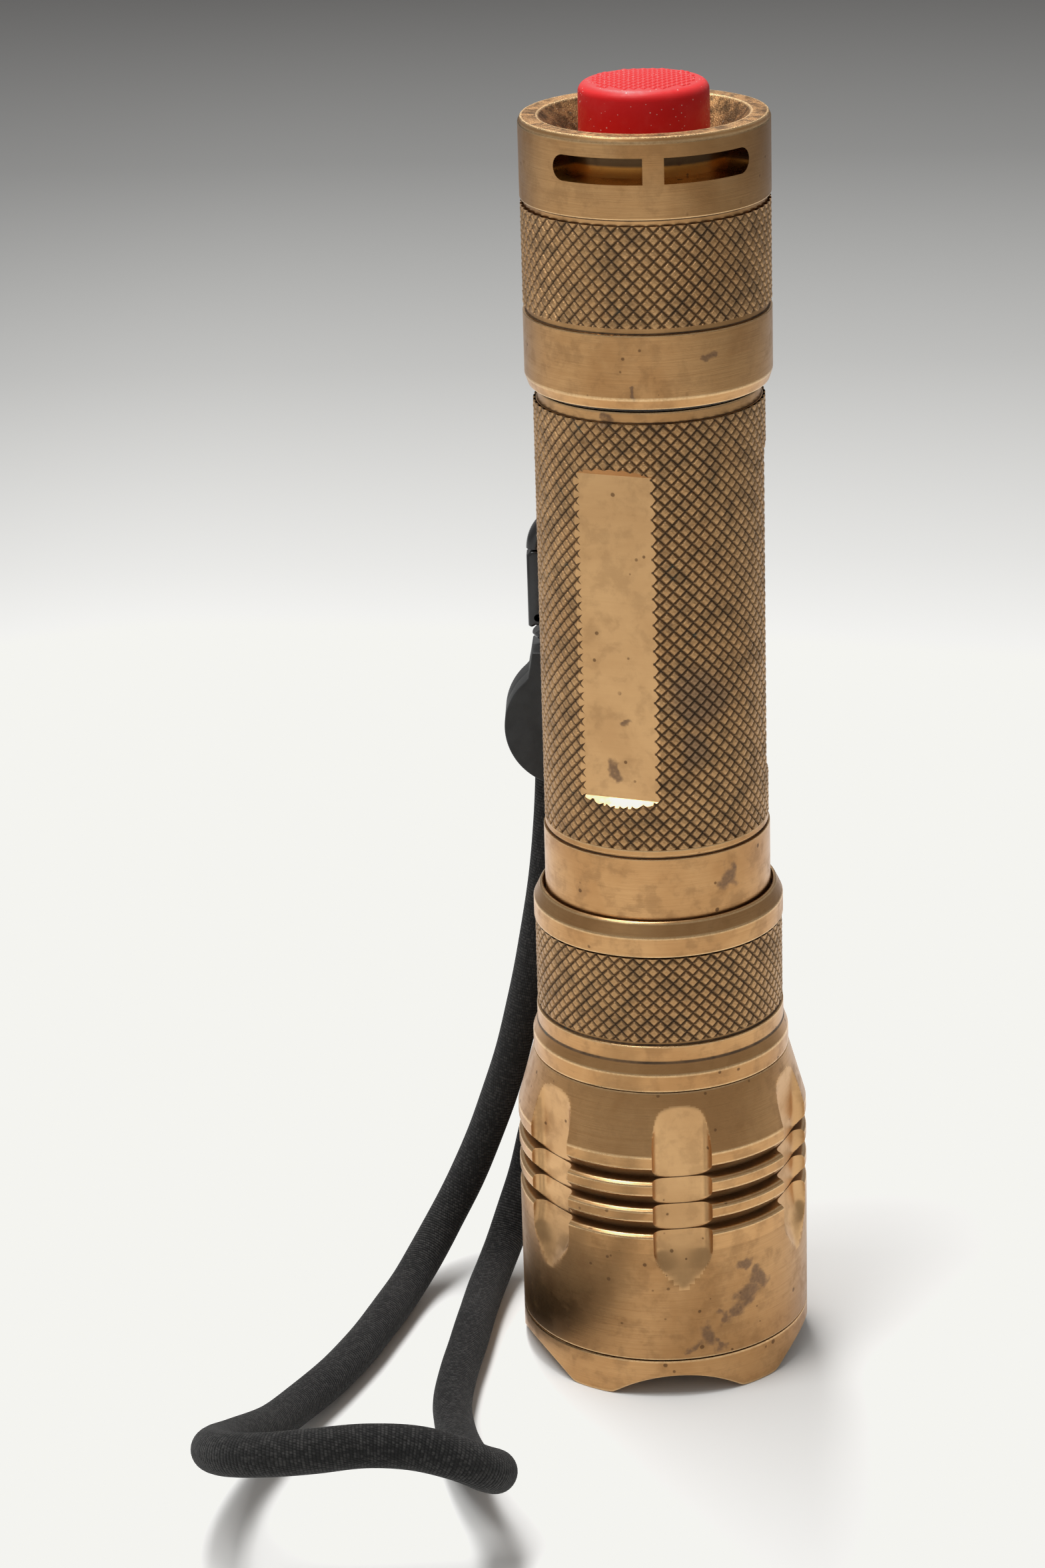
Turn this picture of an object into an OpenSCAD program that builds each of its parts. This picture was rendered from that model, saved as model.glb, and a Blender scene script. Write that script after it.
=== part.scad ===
// Rechargeable brass flashlight that stands on its bezel, with a clip-on wrist lanyard.
// The light's axis is +Z: the bezel rests on z = 0 and the tail switch is at the top.
// The front of the light faces -Y. Angles named "turn" are counted about +Z from the front
// towards +X. Lengths are in millimetres.

/* [Body tube] */
// Outside radius of the body tube at its knurl crests
tube_r = 12.5; // [12.4:0.05:12.6]
// Height of the body tube's shoulder, where the tailcap stops
tube_top = 114.05; // [114:0.05:114.1]
// Number of flats milled along the body tube
tube_flats = 3; // [0:1:4]
// Distance of each flat from the axis
tube_flat_depth = 11.57; // [11.5:0.05:12]

/* [Battery] */
// Radius of the 18650 cell
cell_r = 9.2; // [9.1:0.05:9.3]
// Length of the cell's can, without its positive button
cell_len = 66.5; // [66:0.5:66.5]

/* [Head] */
// Outside radius of the head
head_r = 16.45; // [16.3:0.05:16.6]
// Outside radius of the port collar's plain bands
collar_r = 13.95; // [13.9:0.05:14]
// Number of scallops cut in the bezel
scallops = 5; // [3:1:8]
// Number of flutes milled in the head
flutes = 6; // [0:1:8]
// Distance from the axis to a flute's flat floor
flute_floor = 14.92; // [14.85:0.05:15.2]

/* [Tail] */
// Outside radius of the tailcap
tail_r = 13.3; // [13.2:0.05:13.4]
// Height of the tailcap's flat rim
tail_top = 143.3; // [143.2:0.1:143.4]
// How far the switch button stands above the rim
button_rise = 3.7; // [3:0.1:4]

/* [Lanyard] */
// Diameter of the knitted cord
cord_d = 4.5; // [4:0.1:4.6]
// Diameter of the thin string through the tailcap
string_d = 1.3; // [1:0.1:1.4]
// Radius of the round joiner where the cord's ends meet
joiner_r = 7.3; // [7:0.1:7.4]
// Thickness of the snap hook
hook_t = 2.6; // [2.4:0.1:2.8]

/* [Hidden] */
$fn = 96;
eps = 0.05;
// Gap left between a spring's free end and what it presses on
end_gap = 0.08;

// Heights of the joints between the head's parts
bezel_top = 4.7;
head_top = 37;
collar_top = 56.9;

// Head: ratchet grooves under the cone
groove_r = 14.84;
groove_ledges = [20.4, 23.6, 26.85];
groove_rise = 1.7;
cone_start = 29.95;
cone_top_r = 14.47;
neck_r = 12.7;
neck_top = 55.6;
port_turn = 35;

// Flutes: the floor's half width, its corner radius and its ends
flute_turn = 7.4;
flute_half = 2.15;
flute_corner = 1.2;
flute_full = 17.8;
flute_tip = 13.7;

// Body tube: bore, spigots and flats
tube_bore = 9.6;
band_r = 12.6;
band_top = 64;
knurl_start = 65;
knurl_end = 112.85;
spigot_bottom = 45;
tail_spigot_top = 124.5;
flat_start = 70.6;
flat_end = 107;
flat_turn = -19.3;

// Cell and springs
cell_bottom = 51.4;
cell_top = cell_bottom + cell_len;
driver_top = 43;
cell_contact = 49.4;
switch_floor = 129;

// Tail: lanyard slots and the boot
slot_bottom = 138.4;
slot_top = 141.15;
bridge_turn = 3.6;
bridge_half = 4.8;
slot_left = -39.5;
slot_right = 48;
channel_r = 10.2;
bridge_r = 11.9;
tail_hole_r = 7.2;
button_r = 6.9;
button_top = tail_top + button_rise;

// Lanyard plane: the hook and the joiner hang behind the light
hang_y = 17;
joiner_pos = [-9.9, hang_y, 70];
joiner_t = 6.4;
joiner_top = 9;
hook_pos = [-9.3, hang_y, 86.6];
hook_half = 4.95;
hook_bar = 2;
hook_bottom = 79.3;
gate_pivot = [-13.1, hang_y, 82.5];
// The cord's two ends and the swivel pin, counted across from the joiner's centre
cord_ends = [-2, 2.7];
swivel_x = 0.6;

brass = "#b08d57";
steel = "silver";
black = "#202020";
red = "#c22424";

// The cord leaves the joiner, hangs to the table, turns in two bends at the front and returns
cord_route = [
    [-11.9, 17, 70], [-11.9, 17, 63], [-12.6, 17, 54], [-13.9, 17, 45], [-15.7, 17, 36],
    [-17.8, 17, 27.5], [-20.4, 17, 19.6], [-23.4, 16.4, 12.4], [-26.6, 14.2, 6.8],
    [-29.2, 10, 3.6], [-31.1, 5, 2.5], [-33.1, -1.5, 2.4], [-35.2, -8, 2.4], [-38, -15, 2.5],
    [-41.2, -22, 3], [-44, -29.4, 4.4], [-46.8, -37, 7.2], [-48.2, -43.4, 10],
    [-47.8, -49, 12.6], [-45.4, -53, 14.4], [-41.4, -55.2, 15.6], [-36.6, -55.8, 16.3],
    [-31.4, -55.4, 16.6], [-26.4, -55.2, 16.2], [-22.2, -54.8, 14.8], [-19.4, -53.2, 12.6],
    [-18.2, -50.2, 10.4], [-18.8, -46.2, 8], [-20.4, -41.4, 5.8], [-22, -35.6, 4],
    [-23.3, -29, 2.8], [-24.1, -21.8, 2.4], [-23.7, -14.6, 2.4], [-22.9, -8, 2.4],
    [-22.2, -1.9, 2.4], [-21.3, 5, 2.5], [-20.2, 10.6, 3.1], [-19, 14.2, 4.9], [-17.6, 16.6, 8.4],
    [-16.2, 18, 12.6], [-14.6, 18.8, 19], [-12.6, 18.9, 27], [-10.5, 18.6, 36], [-8.8, 18, 45],
    [-7.7, 17.3, 54], [-7.2, 17, 63], [-7.2, 17, 70]];

// The string runs from its crimp round the hook's top bar, up through one slot, behind the
// bridge, out of the other slot and back to the crimp
string_route = [
    [-7.5, 17.5, 112], [-7.9, 18.3, 105], [-8.7, 19.1, 98.6], [-9.2, 19.3, 95.2],
    [-9.3, 19.2, 93.4], [-9.3, 18.4, 92.3], [-9.3, 17, 91.9], [-9.3, 15.6, 92.3],
    [-9.3, 14.8, 93.4], [-9.2, 14.7, 95.2], [-8.8, 14.8, 101], [-9.2, 15, 112],
    [-8.6, 15.2, 124], [-7.2, 15.2, 134], [-6.2, 14.6, 138.6], [-5, 12.6, 139.8],
    [-3, 11, 139.8], [-0.7, 10.95, 139.8], [1.4, 11.1, 139.8], [3.2, 12.6, 139.8],
    [3.8, 15, 138.8], [2.6, 16, 134], [-1.4, 16.4, 126], [-5.4, 16.8, 119],
    [-7.3, 17.3, 113]];

// ---- shared shapes ----

// A solid of revolution from [radius, height] points
module turned(points) {
    rotate_extrude() polygon(points);
}

// A plain ring
module ring(outer, inner, low, high) {
    translate([0, 0, low]) difference() {
        cylinder(r = outer, h = high - low);
        translate([0, 0, -eps]) cylinder(r = inner, h = high - low + 2 * eps);
    }
}

// A true torus lying flat
module torus(major, minor, height) {
    translate([0, 0, height]) rotate_extrude() translate([major, 0]) circle(r = minor, $fn = 32);
}

// A sector of a ring between two turns, counted from the front
module ring_sector(outer, inner, low, high, from, to) {
    translate([0, 0, low]) rotate([0, 0, from - 90])
        rotate_extrude(angle = to - from) translate([inner, 0]) square([outer - inner, high - low]);
}

// Unit vector and cross product helpers for the swept tubes
function unit(v) = v / norm(v);
function route_dir(p, i) = unit(p[min(i + 1, len(p) - 1)] - p[max(i - 1, 0)]);
// A frame carried along the route without twisting: [side, up] at point i
function first_side(d) = unit(cross(d, abs(d[0]) < 0.9 ? [1, 0, 0] : [0, 1, 0]));
function carried(p, i) = i == 0
    ? first_side(route_dir(p, 0))
    : unit(let (s = carried(p, i - 1), d = route_dir(p, i)) s - d * (s * d));

// A tube swept along a route, one ring of points at each route point
module swept_tube(route, d, sides) {
    n = len(route);
    points = [for (i = [0 : n - 1])
        let (t = route_dir(route, i), s = carried(route, i), u = cross(t, s))
        for (k = [0 : sides - 1])
            route[i] + d / 2 * (s * cos(360 * k / sides) + u * sin(360 * k / sides))];
    walls = [for (i = [0 : n - 2]) for (k = [0 : sides - 1])
        let (a = i * sides + k, b = i * sides + (k + 1) % sides)
        each [[a, b, a + sides], [b, b + sides, a + sides]]];
    start_cap = [for (k = [0 : sides - 1]) sides - 1 - k];
    end_cap = [for (k = [0 : sides - 1]) (n - 1) * sides + k];
    polyhedron(points = points, faces = concat(walls, [start_cap, end_cap]));
}

// A helical wire spring between two heights, swept as a tube
module coil_spring(r_low, r_high, low, high, turns, wire) {
    per_turn = 12;
    steps = turns * per_turn;
    route = [for (i = [0 : steps]) let (
            f = i / steps,
            r = r_low + (r_high - r_low) * f,
            a = 360 * turns * f)
        [r * cos(a), r * sin(a), low + wire / 2 + (high - low - wire) * f]];
    swept_tube(route, wire, 6);
}

// ---- head ----

// One flute's cutter: a flat floor with rounded corners and a ramp at its lower end
module flute_cutter() {
    depth = head_r - flute_floor + 1;
    rotate([0, 0, flute_turn]) translate([0, -flute_floor, 0]) {
        translate([0, 0, flute_full]) linear_extrude(head_top - 1 - flute_full)
            translate([0, -depth]) flute_section(depth);
        hull() {
            translate([0, 0, flute_full]) linear_extrude(eps)
                translate([0, -depth]) flute_section(depth);
            translate([0, flute_floor - head_r, flute_tip]) rotate([90, 0, 0])
                cylinder(r = 0.5, h = depth, $fn = 16);
        }
    }
}

// Cross-section of a flute, open to -Y
module flute_section(depth) {
    translate([-flute_half, 0]) square([2 * flute_half, depth]);
    difference() {
        half = flute_half + flute_corner;
        translate([-half, 0]) square([2 * half, depth]);
        for (side = [-1, 1]) translate([side * half, depth]) circle(r = flute_corner, $fn = 32);
    }
}

module head_shell() {
    groove = [for (z = groove_ledges)
        each [[head_r, z - 0.35], [head_r - 0.35, z], [groove_r, z], [head_r, z + groove_rise]]];
    color(brass) difference() {
        union() {
            turned(concat(
                [[15.5, bezel_top], [head_r, bezel_top]],
                groove,
                [[head_r, cone_start], [cone_top_r, head_top], [neck_r, head_top],
                 [neck_r, neck_top], [11.57, neck_top], [11.57, 44.6], [11, 44.6],
                 [11, 38.4], [11.65, 38.4], [11.65, 34], [13.9, 34], [13.9, 14],
                 [14.5, 14], [14.5, 12.6], [15.1, 12.6], [15.1, 9], [15.5, 9]]));
            for (i = [0 : 4]) ring(neck_r + 0.13, neck_r - 0.3, 45 + i, 45.45 + i);
        }
        for (i = [0 : flutes - 1]) rotate([0, 0, 360 * i / flutes]) flute_cutter();
        ring(14, 12.05, 42.4, 43.6);
        rotate([0, 0, port_turn]) translate([-4, -15, 38.4]) cube([8, 6, 3.1]);
        rotate([0, 0, port_turn + 32]) translate([0, 0, 40]) rotate([90, 0, 0])
            cylinder(r = 0.8, h = 15, $fn = 32);
    }
}

module bezel_ring() {
    cutter_r = 11.5;
    arch_top = 2.7;
    color(brass) difference() {
        union() {
            turned([[13.6, 0], [head_r, 0], [head_r, bezel_top], [15.45, bezel_top],
                    [15.45, 8.6], [14.3, 8.6], [14.3, 4], [13.6, 3.4]]);
        }
        for (i = [0 : scallops - 1])
            rotate([0, 0, 360 * i / scallops + 4.7])
                translate([0, 0, arch_top - cutter_r]) rotate([90, 0, 0])
                    cylinder(r = cutter_r, h = 20);
    }
}

module lens_gasket() {
    color(black) torus(14.45, 0.5, 9.25);
}

module lens() {
    color("lightblue", 0.4) translate([0, 0, 9.8]) cylinder(r = 14.95, h = 2);
}

// Parabola of the reflector: radius at a height
function mirror_r(z) = sqrt(8 * (34.9 - z));

module reflector() {
    low = 11.8;
    high = 33.2;
    wall = 0.8;
    steps = 14;
    heights = [for (i = [0 : steps]) low + (high - low) * i / steps];
    inner = [for (z = heights) [mirror_r(z) - (z < 13 ? 0.3 : 0), z]];
    outer = [for (i = [steps : -1 : 0]) let (z = heights[i])
        [min(mirror_r(z) + wall, 13.8), max(z, 12.6)]];
    color(steel) turned(concat(inner, outer, [[14.4, 12.6], [14.95, 12.6], [14.95, low]]));
}

module centering_ring() {
    color("white") translate([0, 0, 33.2]) difference() {
        cylinder(r = 4.6, h = 0.8);
        translate([-1.8, -1.8, -eps]) cube([3.6, 3.6, 1]);
    }
}

module emitter_board() {
    color("white") translate([0, 0, 34]) difference() {
        cylinder(r = 10, h = 1.6);
        for (x = [-7.5, 7.5]) translate([x, 0, -eps]) cylinder(r = 1.2, h = 2, $fn = 32);
    }
}

module led_package() {
    color("lemonchiffon") translate([-1.725, -1.725, 33.3]) cube([3.45, 3.45, 0.7]);
}

module led_dome() {
    color("yellow", 0.7) translate([0, 0, 33.3]) difference() {
        sphere(r = 1.5, $fn = 48);
        translate([-2, -2, 0]) cube(4);
    }
}

module heat_sink_pill() {
    color(brass) translate([0, 0, 35.6]) difference() {
        cylinder(r = 11.65, h = 2.8);
        for (x = [-7.5, 7.5]) translate([x, 0, -eps]) cylinder(r = 1.2, h = 3, $fn = 32);
    }
}

// A lead from the driver through the pill to the emitter board
module led_wire(x, shade) {
    color(shade) translate([x, 0, 33.9]) cylinder(r = 0.55, h = 41.6 - 33.9, $fn = 24);
}

module led_wire_left() {
    led_wire(-7.5, "black");
}

module led_wire_right() {
    led_wire(7.5, "red");
}

module driver_board() {
    color("darkgreen") translate([0, 0, 41.6]) cylinder(r = 10.9, h = driver_top - 41.6);
}

module driver_ring() {
    color(brass) ring(10.95, 9.4, driver_top, 44.3);
}

module driver_spring() {
    color("gold") coil_spring(3.6, 2.6, driver_top, cell_contact - end_gap, 5, 0.6);
}

module inductor() {
    color("#444444") translate([-2.5, 1, 39]) cube([5, 5, 2.6]);
}

module driver_chip() {
    color("#303030") translate([-6.2, -4.6, 40.5]) cube([3.9, 4.9, 1.1]);
}

// Charging socket: a folded metal shell round a tongue
module usb_socket() {
    wide = 7.6;
    tall = 2.7;
    wall = 0.3;
    color(steel) rotate([0, 0, port_turn]) translate([-wide / 2, -12.2, 38.75]) difference() {
        cube([wide, 5, tall]);
        translate([wall, -eps, wall]) cube([wide - 2 * wall, 4.6, tall - 2 * wall]);
    }
    color(black) rotate([0, 0, port_turn]) translate([-wide / 2 + 1.6, -11.8, 39.9])
        cube([wide - 3.2, 4.6, 0.6]);
}

module charge_light() {
    color("honeydew") rotate([0, 0, port_turn + 32]) translate([0, -11, 40]) rotate([90, 0, 0])
        cylinder(r = 0.8, h = 1.6, $fn = 32);
}

module neck_o_ring() {
    color(black) torus(12.45, 0.36, 43);
}

// ---- port collar ----

module port_collar() {
    bore = 12.9;
    color(brass) turned([
        [bore, head_top + 0.05], [14.47, head_top + 0.05], [14.47, 39.03], [collar_r, 40.4],
        [collar_r, 42.3], [13.6, 42.35], [13.6, 42.75], [collar_r - 0.05, 42.8],
        [collar_r - 0.05, 52.75], [13.6, 52.8], [13.6, 52.95], [collar_r + 0.03, 53],
        [collar_r + 0.03, 55.25], [13.28, 56.7], [13.1, collar_top], [bore, collar_top]]);
}

// ---- body tube ----

module head_o_ring() {
    color(black) torus(11.15, 0.36, 54.4);
}

module tube_flat_cutter() {
    ramp = 3;
    reach = 3;
    rotate([0, 0, flat_turn]) translate([0, -tube_flat_depth, 0]) rotate([90, 0, 90])
        translate([0, 0, -8]) linear_extrude(16)
            polygon([[0, flat_start], [0, flat_end], [-reach, flat_end + ramp],
                     [-reach, flat_start - ramp]]);
}

module body_tube() {
    color(brass) difference() {
        union() {
            turned([
                [tube_bore, spigot_bottom], [11.2, spigot_bottom], [11.2, 53.8], [10.75, 53.8],
                [10.75, 55], [11.45, 55], [11.45, neck_top + 0.1], [band_r, neck_top + 0.1],
                [band_r, band_top - 0.25], [band_r - 0.2, band_top], [12.25, band_top],
                [12.25, 64.3], [12.42, 64.3], [12.42, knurl_start], [tube_r, knurl_start],
                [tube_r, knurl_end - 0.3], [12.1, knurl_end], [12, knurl_end],
                [12, tube_top], [11.05, tube_top], [11.05, 115.5], [11.28, 115.5],
                [11.28, 116.2], [11, 116.2], [11, tail_spigot_top], [tube_bore, tail_spigot_top]]);
            for (i = [0 : 6]) ring(11.5, 11, 45.8 + i, 46.25 + i);
            for (i = [0 : 6]) ring(11.28, 10.8, 117 + i, 117.45 + i);
        }
        for (i = [0 : tube_flats - 1]) rotate([0, 0, 360 * i / tube_flats]) tube_flat_cutter();
    }
}

module battery_cell() {
    color("steelblue") translate([0, 0, cell_bottom]) cylinder(r = cell_r, h = cell_len);
}

module battery_positive() {
    color(steel) translate([0, 0, cell_contact]) cylinder(r = 2.9, h = cell_bottom - cell_contact);
}

// ---- tailcap ----

module tail_o_ring() {
    color(black) torus(11.77, 0.66, 114.78);
}

// One pair of lanyard slots beside a bridge, joined by a channel behind it
module lanyard_slots() {
    half = (slot_top - slot_bottom) / 2;
    difference() {
        union() {
            ring_sector(tail_r + 1, channel_r, slot_bottom, slot_top, slot_left, slot_right);
            for (turn = [slot_left, slot_right])
                rotate([0, 0, turn]) translate([0, -channel_r - 0.3, slot_bottom + half])
                    rotate([90, 0, 0]) cylinder(r = half - eps, h = 4, $fn = 32);
        }
        ring_sector(tail_r + 6, bridge_r, slot_bottom - 1, slot_top + 1,
                    bridge_turn - bridge_half, bridge_turn + bridge_half);
    }
}

module tailcap_shell() {
    color(brass) difference() {
        turned([
            [12.5, 114.6], [12.9, 114.6], [tail_r, 115.75], [tail_r, 122.6], [12.95, 122.65],
            [12.95, 122.95], [tail_r, 123.3], [tail_r, 134.06], [12.95, 134.3],
            [12.95, 134.7], [tail_r, 134.75], [tail_r, tail_top - 0.55],
            [tail_r - 0.26, tail_top], [11.2, tail_top], [9.4, 141.2], [7.94, 139.5],
            [tail_hole_r, 139.5], [tail_hole_r, 137.4], [10.3, 137.4], [10.3, 125],
            [11.37, 124.8], [11.37, 116], [12.5, 116]]);
        for (side = [0, 180]) rotate([0, 0, side]) lanyard_slots();
    }
}

module boot_flange() {
    color(red) ring(9.6, 6.1, 136.5, 137.3);
}

module boot_web() {
    color(red) ring(6.85, 6.1, 137.3, 139.2);
}

module switch_boot() {
    fillet = 0.6;
    cavity_r = 5.7;
    bumps_r = 5.4;
    pitch = 1.1;
    color(red) {
        difference() {
            turned(concat(
                [[0, 139.2], [button_r, 139.2], [button_r, button_top - fillet]],
                [for (a = [15 : 15 : 90])
                    [button_r - fillet + fillet * cos(a), button_top - fillet + fillet * sin(a)]],
                [[0, button_top]]));
            difference() {
                translate([0, 0, 139]) cylinder(r = cavity_r, h = 6.4);
                translate([0, 0, 143.3]) cylinder(r = 2.6, h = 3);
            }
        }
        for (i = [-5 : 5]) for (j = [-5 : 5])
            let (x = (i + j) * pitch / 2, y = (i - j) * pitch / 2)
                if (norm([x, y]) < bumps_r)
                    translate([x, y, button_top - 0.1]) rotate([0, 0, 45])
                        cylinder(r1 = 0.42, r2 = 0.25, h = 0.35, $fn = 4);
    }
}

module switch_sleeve() {
    color("dimgray") ring(10.25, 8.3, 130.2, 136.5);
}

module switch_housing() {
    side = 8.4;
    color("#333333") difference() {
        translate([-side / 2, -side / 2, 130.2]) cube([side, side, 6.2]);
        translate([0, 0, 133]) cylinder(r = 1.7, h = 4, $fn = 48);
    }
}

module switch_plunger() {
    color("whitesmoke") translate([0, 0, 134.9]) cylinder(r = 1.62, h = 143.3 - 134.9, $fn = 48);
}

module switch_return_spring() {
    color(steel) coil_spring(1.2, 1.2, 133, 134.9, 3, 0.3);
}

module switch_board() {
    color("darkgreen") translate([0, 0, switch_floor]) cylinder(r = 10.25, h = 1.2);
}

module switch_retaining_ring() {
    color(brass) difference() {
        ring(10.28, 7.6, 126.8, switch_floor);
        for (x = [-8.9, 8.9]) translate([x, 0, 126]) cylinder(r = 0.7, h = 4, $fn = 24);
    }
}

module tail_spring() {
    color("gold") coil_spring(3.2, 6, cell_top + end_gap, switch_floor, 5, 0.8);
}

// ---- lanyard ----

module lanyard_string() {
    color(black) swept_tube(string_route, string_d, 8);
}

module string_crimp() {
    last = len(string_route) - 1;
    low = string_route[0];
    high = string_route[last];
    middle = (low + high) / 2;
    color(black) translate(middle) cylinder(r = 1.25, h = 3, center = true, $fn = 32);
}

// Outline of the hook: a round top and small rounded corners at the bottom
module hook_outline(inset) {
    corner = 2.6;
    hull() {
        translate([0, 3.9]) circle(r = hook_half - inset, $fn = 64);
        for (side = [-1, 1])
            translate([side * (hook_half - corner), hook_bottom + corner - hook_pos[2]])
                circle(r = corner - inset, $fn = 32);
    }
}

// Stands a flat outline up in the hanging plane
module hang(thick) {
    translate([0, thick / 2, 0]) rotate([90, 0, 0]) linear_extrude(thick) children();
}

// Snap hook: a frame that is open on its left side, where the gate closes it
module lanyard_hook() {
    color(black) difference() {
        translate(hook_pos) hang(hook_t) difference() {
            hook_outline(0);
            hook_outline(hook_bar);
            translate([-hook_half - 1, -3.7]) square([3.5, 7.7]);
        }
        translate(gate_pivot) rotate([90, 0, 0])
            cylinder(r = 0.44, h = 5, center = true, $fn = 24);
        translate(gate_pivot + [-1.4, -0.65, -1.3]) cube([3, 1.3, 4]);
    }
}

// Gate: a bar with a tongue that fits the hook's fork, hinged low on the left side
module hook_gate() {
    bar_low = 1.6;
    bar_high = 8;
    color("#303030") difference() {
        union() {
            translate(gate_pivot) hang(1) union() {
                circle(r = 1, $fn = 32);
                translate([-0.7, 0]) square([1.4, bar_low + 0.4]);
            }
            translate(gate_pivot + [-1.1, -hook_t / 2, bar_low])
                cube([1.95, hook_t, bar_high - bar_low]);
        }
        translate(gate_pivot) rotate([90, 0, 0]) cylinder(r = 0.48, h = 5, center = true, $fn = 24);
    }
}

module hook_gate_pin() {
    color(steel) translate(gate_pivot) rotate([90, 0, 0])
        cylinder(r = 0.43, h = hook_t, center = true, $fn = 24);
}

// Pin on which the hook turns in the joiner's neck
module swivel_pin() {
    low = 76.6;
    top = joiner_pos[2] + joiner_top;
    color(steel) translate([joiner_pos[0] + swivel_x, hang_y, 0]) {
        translate([0, 0, top]) cylinder(r = 2.2, h = hook_bottom - top, $fn = 48);
        translate([0, 0, low]) cylinder(r = 1.4, h = top - low + eps, $fn = 48);
        translate([0, 0, low]) cylinder(r = 2, h = 0.6, $fn = 48);
    }
}

// Outline of the joiner: a disc with a broad neck
module joiner_outline() {
    circle(r = joiner_r, $fn = 96);
    translate([swivel_x, 0])
        polygon([[-5.1, 5], [5.1, 5], [4.5, joiner_top], [-4.5, joiner_top]]);
}

// Half of the joiner's shell, with channels for the cord's ends and a seat for the pin
module joiner_half() {
    difference() {
        linear_extrude(joiner_t / 2) joiner_outline();
        for (x = cord_ends)
            translate([x, 0, 0]) rotate([90, 0, 0]) cylinder(r = cord_d / 2 + 0.05, h = 9, $fn = 32);
        translate([swivel_x, 6.5, 0]) rotate([-90, 0, 0]) cylinder(r = 1.45, h = 4, $fn = 48);
        translate([swivel_x, 6.5, 0]) rotate([-90, 0, 0]) cylinder(r = 2.05, h = 0.8, $fn = 48);
    }
}

module joiner_front() {
    color(black) translate(joiner_pos) rotate([90, 0, 0]) joiner_half();
}

module joiner_back() {
    color(black) difference() {
        translate(joiner_pos) rotate([90, 0, 0]) mirror([0, 0, 1]) joiner_half();
        translate([joiner_pos[0], hang_y + 2.1, joiner_pos[2] + 3]) rotate([-90, 0, 0])
            cylinder(r = 1.3, h = 4, $fn = 32);
    }
}

module joiner_screw() {
    color(steel) translate([joiner_pos[0], hang_y + 2.1, joiner_pos[2] + 3])
        rotate([-90, 0, 0]) difference() {
            cylinder(r = 1.28, h = 1.1, $fn = 32);
            translate([-1, -0.2, 0.7]) cube([2, 0.4, 1]);
        }
}

module lanyard_cord() {
    color(black) swept_tube(cord_route, cord_d, 12);
}

head_shell();
bezel_ring();
lens_gasket();
lens();
reflector();
centering_ring();
emitter_board();
led_package();
led_dome();
heat_sink_pill();
led_wire_left();
led_wire_right();
driver_board();
driver_ring();
driver_spring();
inductor();
driver_chip();
usb_socket();
charge_light();
neck_o_ring();
port_collar();
head_o_ring();
body_tube();
battery_cell();
battery_positive();
tail_o_ring();
tailcap_shell();
boot_flange();
boot_web();
switch_boot();
switch_sleeve();
switch_housing();
switch_plunger();
switch_return_spring();
switch_board();
switch_retaining_ring();
tail_spring();
lanyard_string();
string_crimp();
lanyard_hook();
hook_gate();
hook_gate_pin();
swivel_pin();
joiner_front();
joiner_back();
joiner_screw();
lanyard_cord();
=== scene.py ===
"""Looks for the brass flashlight: knurled brass, silicone boot, snap hook and knitted cord."""
import math
import random

import bmesh
import bpy
from mathutils import Matrix, Vector


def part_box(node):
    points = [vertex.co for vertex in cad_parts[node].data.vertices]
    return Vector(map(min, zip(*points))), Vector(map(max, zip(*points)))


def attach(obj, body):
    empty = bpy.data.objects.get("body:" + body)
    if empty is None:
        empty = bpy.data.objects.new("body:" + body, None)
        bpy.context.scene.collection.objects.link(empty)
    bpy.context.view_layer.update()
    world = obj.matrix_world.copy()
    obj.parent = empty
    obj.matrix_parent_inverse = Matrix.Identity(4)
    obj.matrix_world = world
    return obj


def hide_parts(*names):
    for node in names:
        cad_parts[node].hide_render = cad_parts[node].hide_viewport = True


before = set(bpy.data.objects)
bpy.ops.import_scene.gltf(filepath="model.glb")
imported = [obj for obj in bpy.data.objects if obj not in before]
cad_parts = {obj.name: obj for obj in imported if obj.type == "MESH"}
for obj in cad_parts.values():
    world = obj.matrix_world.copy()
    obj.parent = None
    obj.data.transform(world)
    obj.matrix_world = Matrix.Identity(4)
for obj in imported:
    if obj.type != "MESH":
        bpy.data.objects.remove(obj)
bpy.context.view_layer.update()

MM = 0.001

# ---- sizes in millimetres, shared by several pieces ----

HEAD_R = 16.45
COLLAR_R = 13.95
TUBE_R = 12.5
TAIL_R = 13.3
FLUTES = 6
FLUTE_TURN = 7.4
FLUTE_FLOOR = 14.92
SCALLOPS = 5
SCALLOP_TURN = 4.7
FLAT_DEPTH = 11.57
FLAT_TURNS = (-19.3, 100.7, -139.3)
FLAT_START = 70.6
FLAT_END = 107.0
PORT_TURN = 35.0
KNURL_DEPTH = 0.27
SLOT_LOW, SLOT_HIGH = 138.4, 141.15
SLOT_SPAN = (-39.5, 48.0)
BRIDGE_SPAN = (-1.2, 8.4)
CORD_D = 4.5
STRING_D = 1.3
BUTTON_R = 6.9
BUTTON_TOP = 147.0
JOINER_X, JOINER_Z, JOINER_R = -9.9, 70, 7.3
HOOK_X = -9.3
GATE_EDGE = -12.2
GATE_LOW, GATE_HIGH = 81.2, 90.6

# Each brass finish: how rough it is, how much patina it carries, how strong its turning lines
# are and how much cloudy patina lies over it
FINISHES = {
    "turned": (0.31, 0.03, 0.8, 0.2), "milled": (0.33, 0.0, 0.2, 0.12),
    "brushed": (0.34, 0.20, 1.0, 0.2), "knurled": (0.36, 0.32, 0.1, 0.6),
    "sandy": (0.48, 0.20, 0.0, 0.85), "pocket": (0.24, 0.45, 0.1, 0.5),
}
BRASSES = list(FINISHES)

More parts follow.
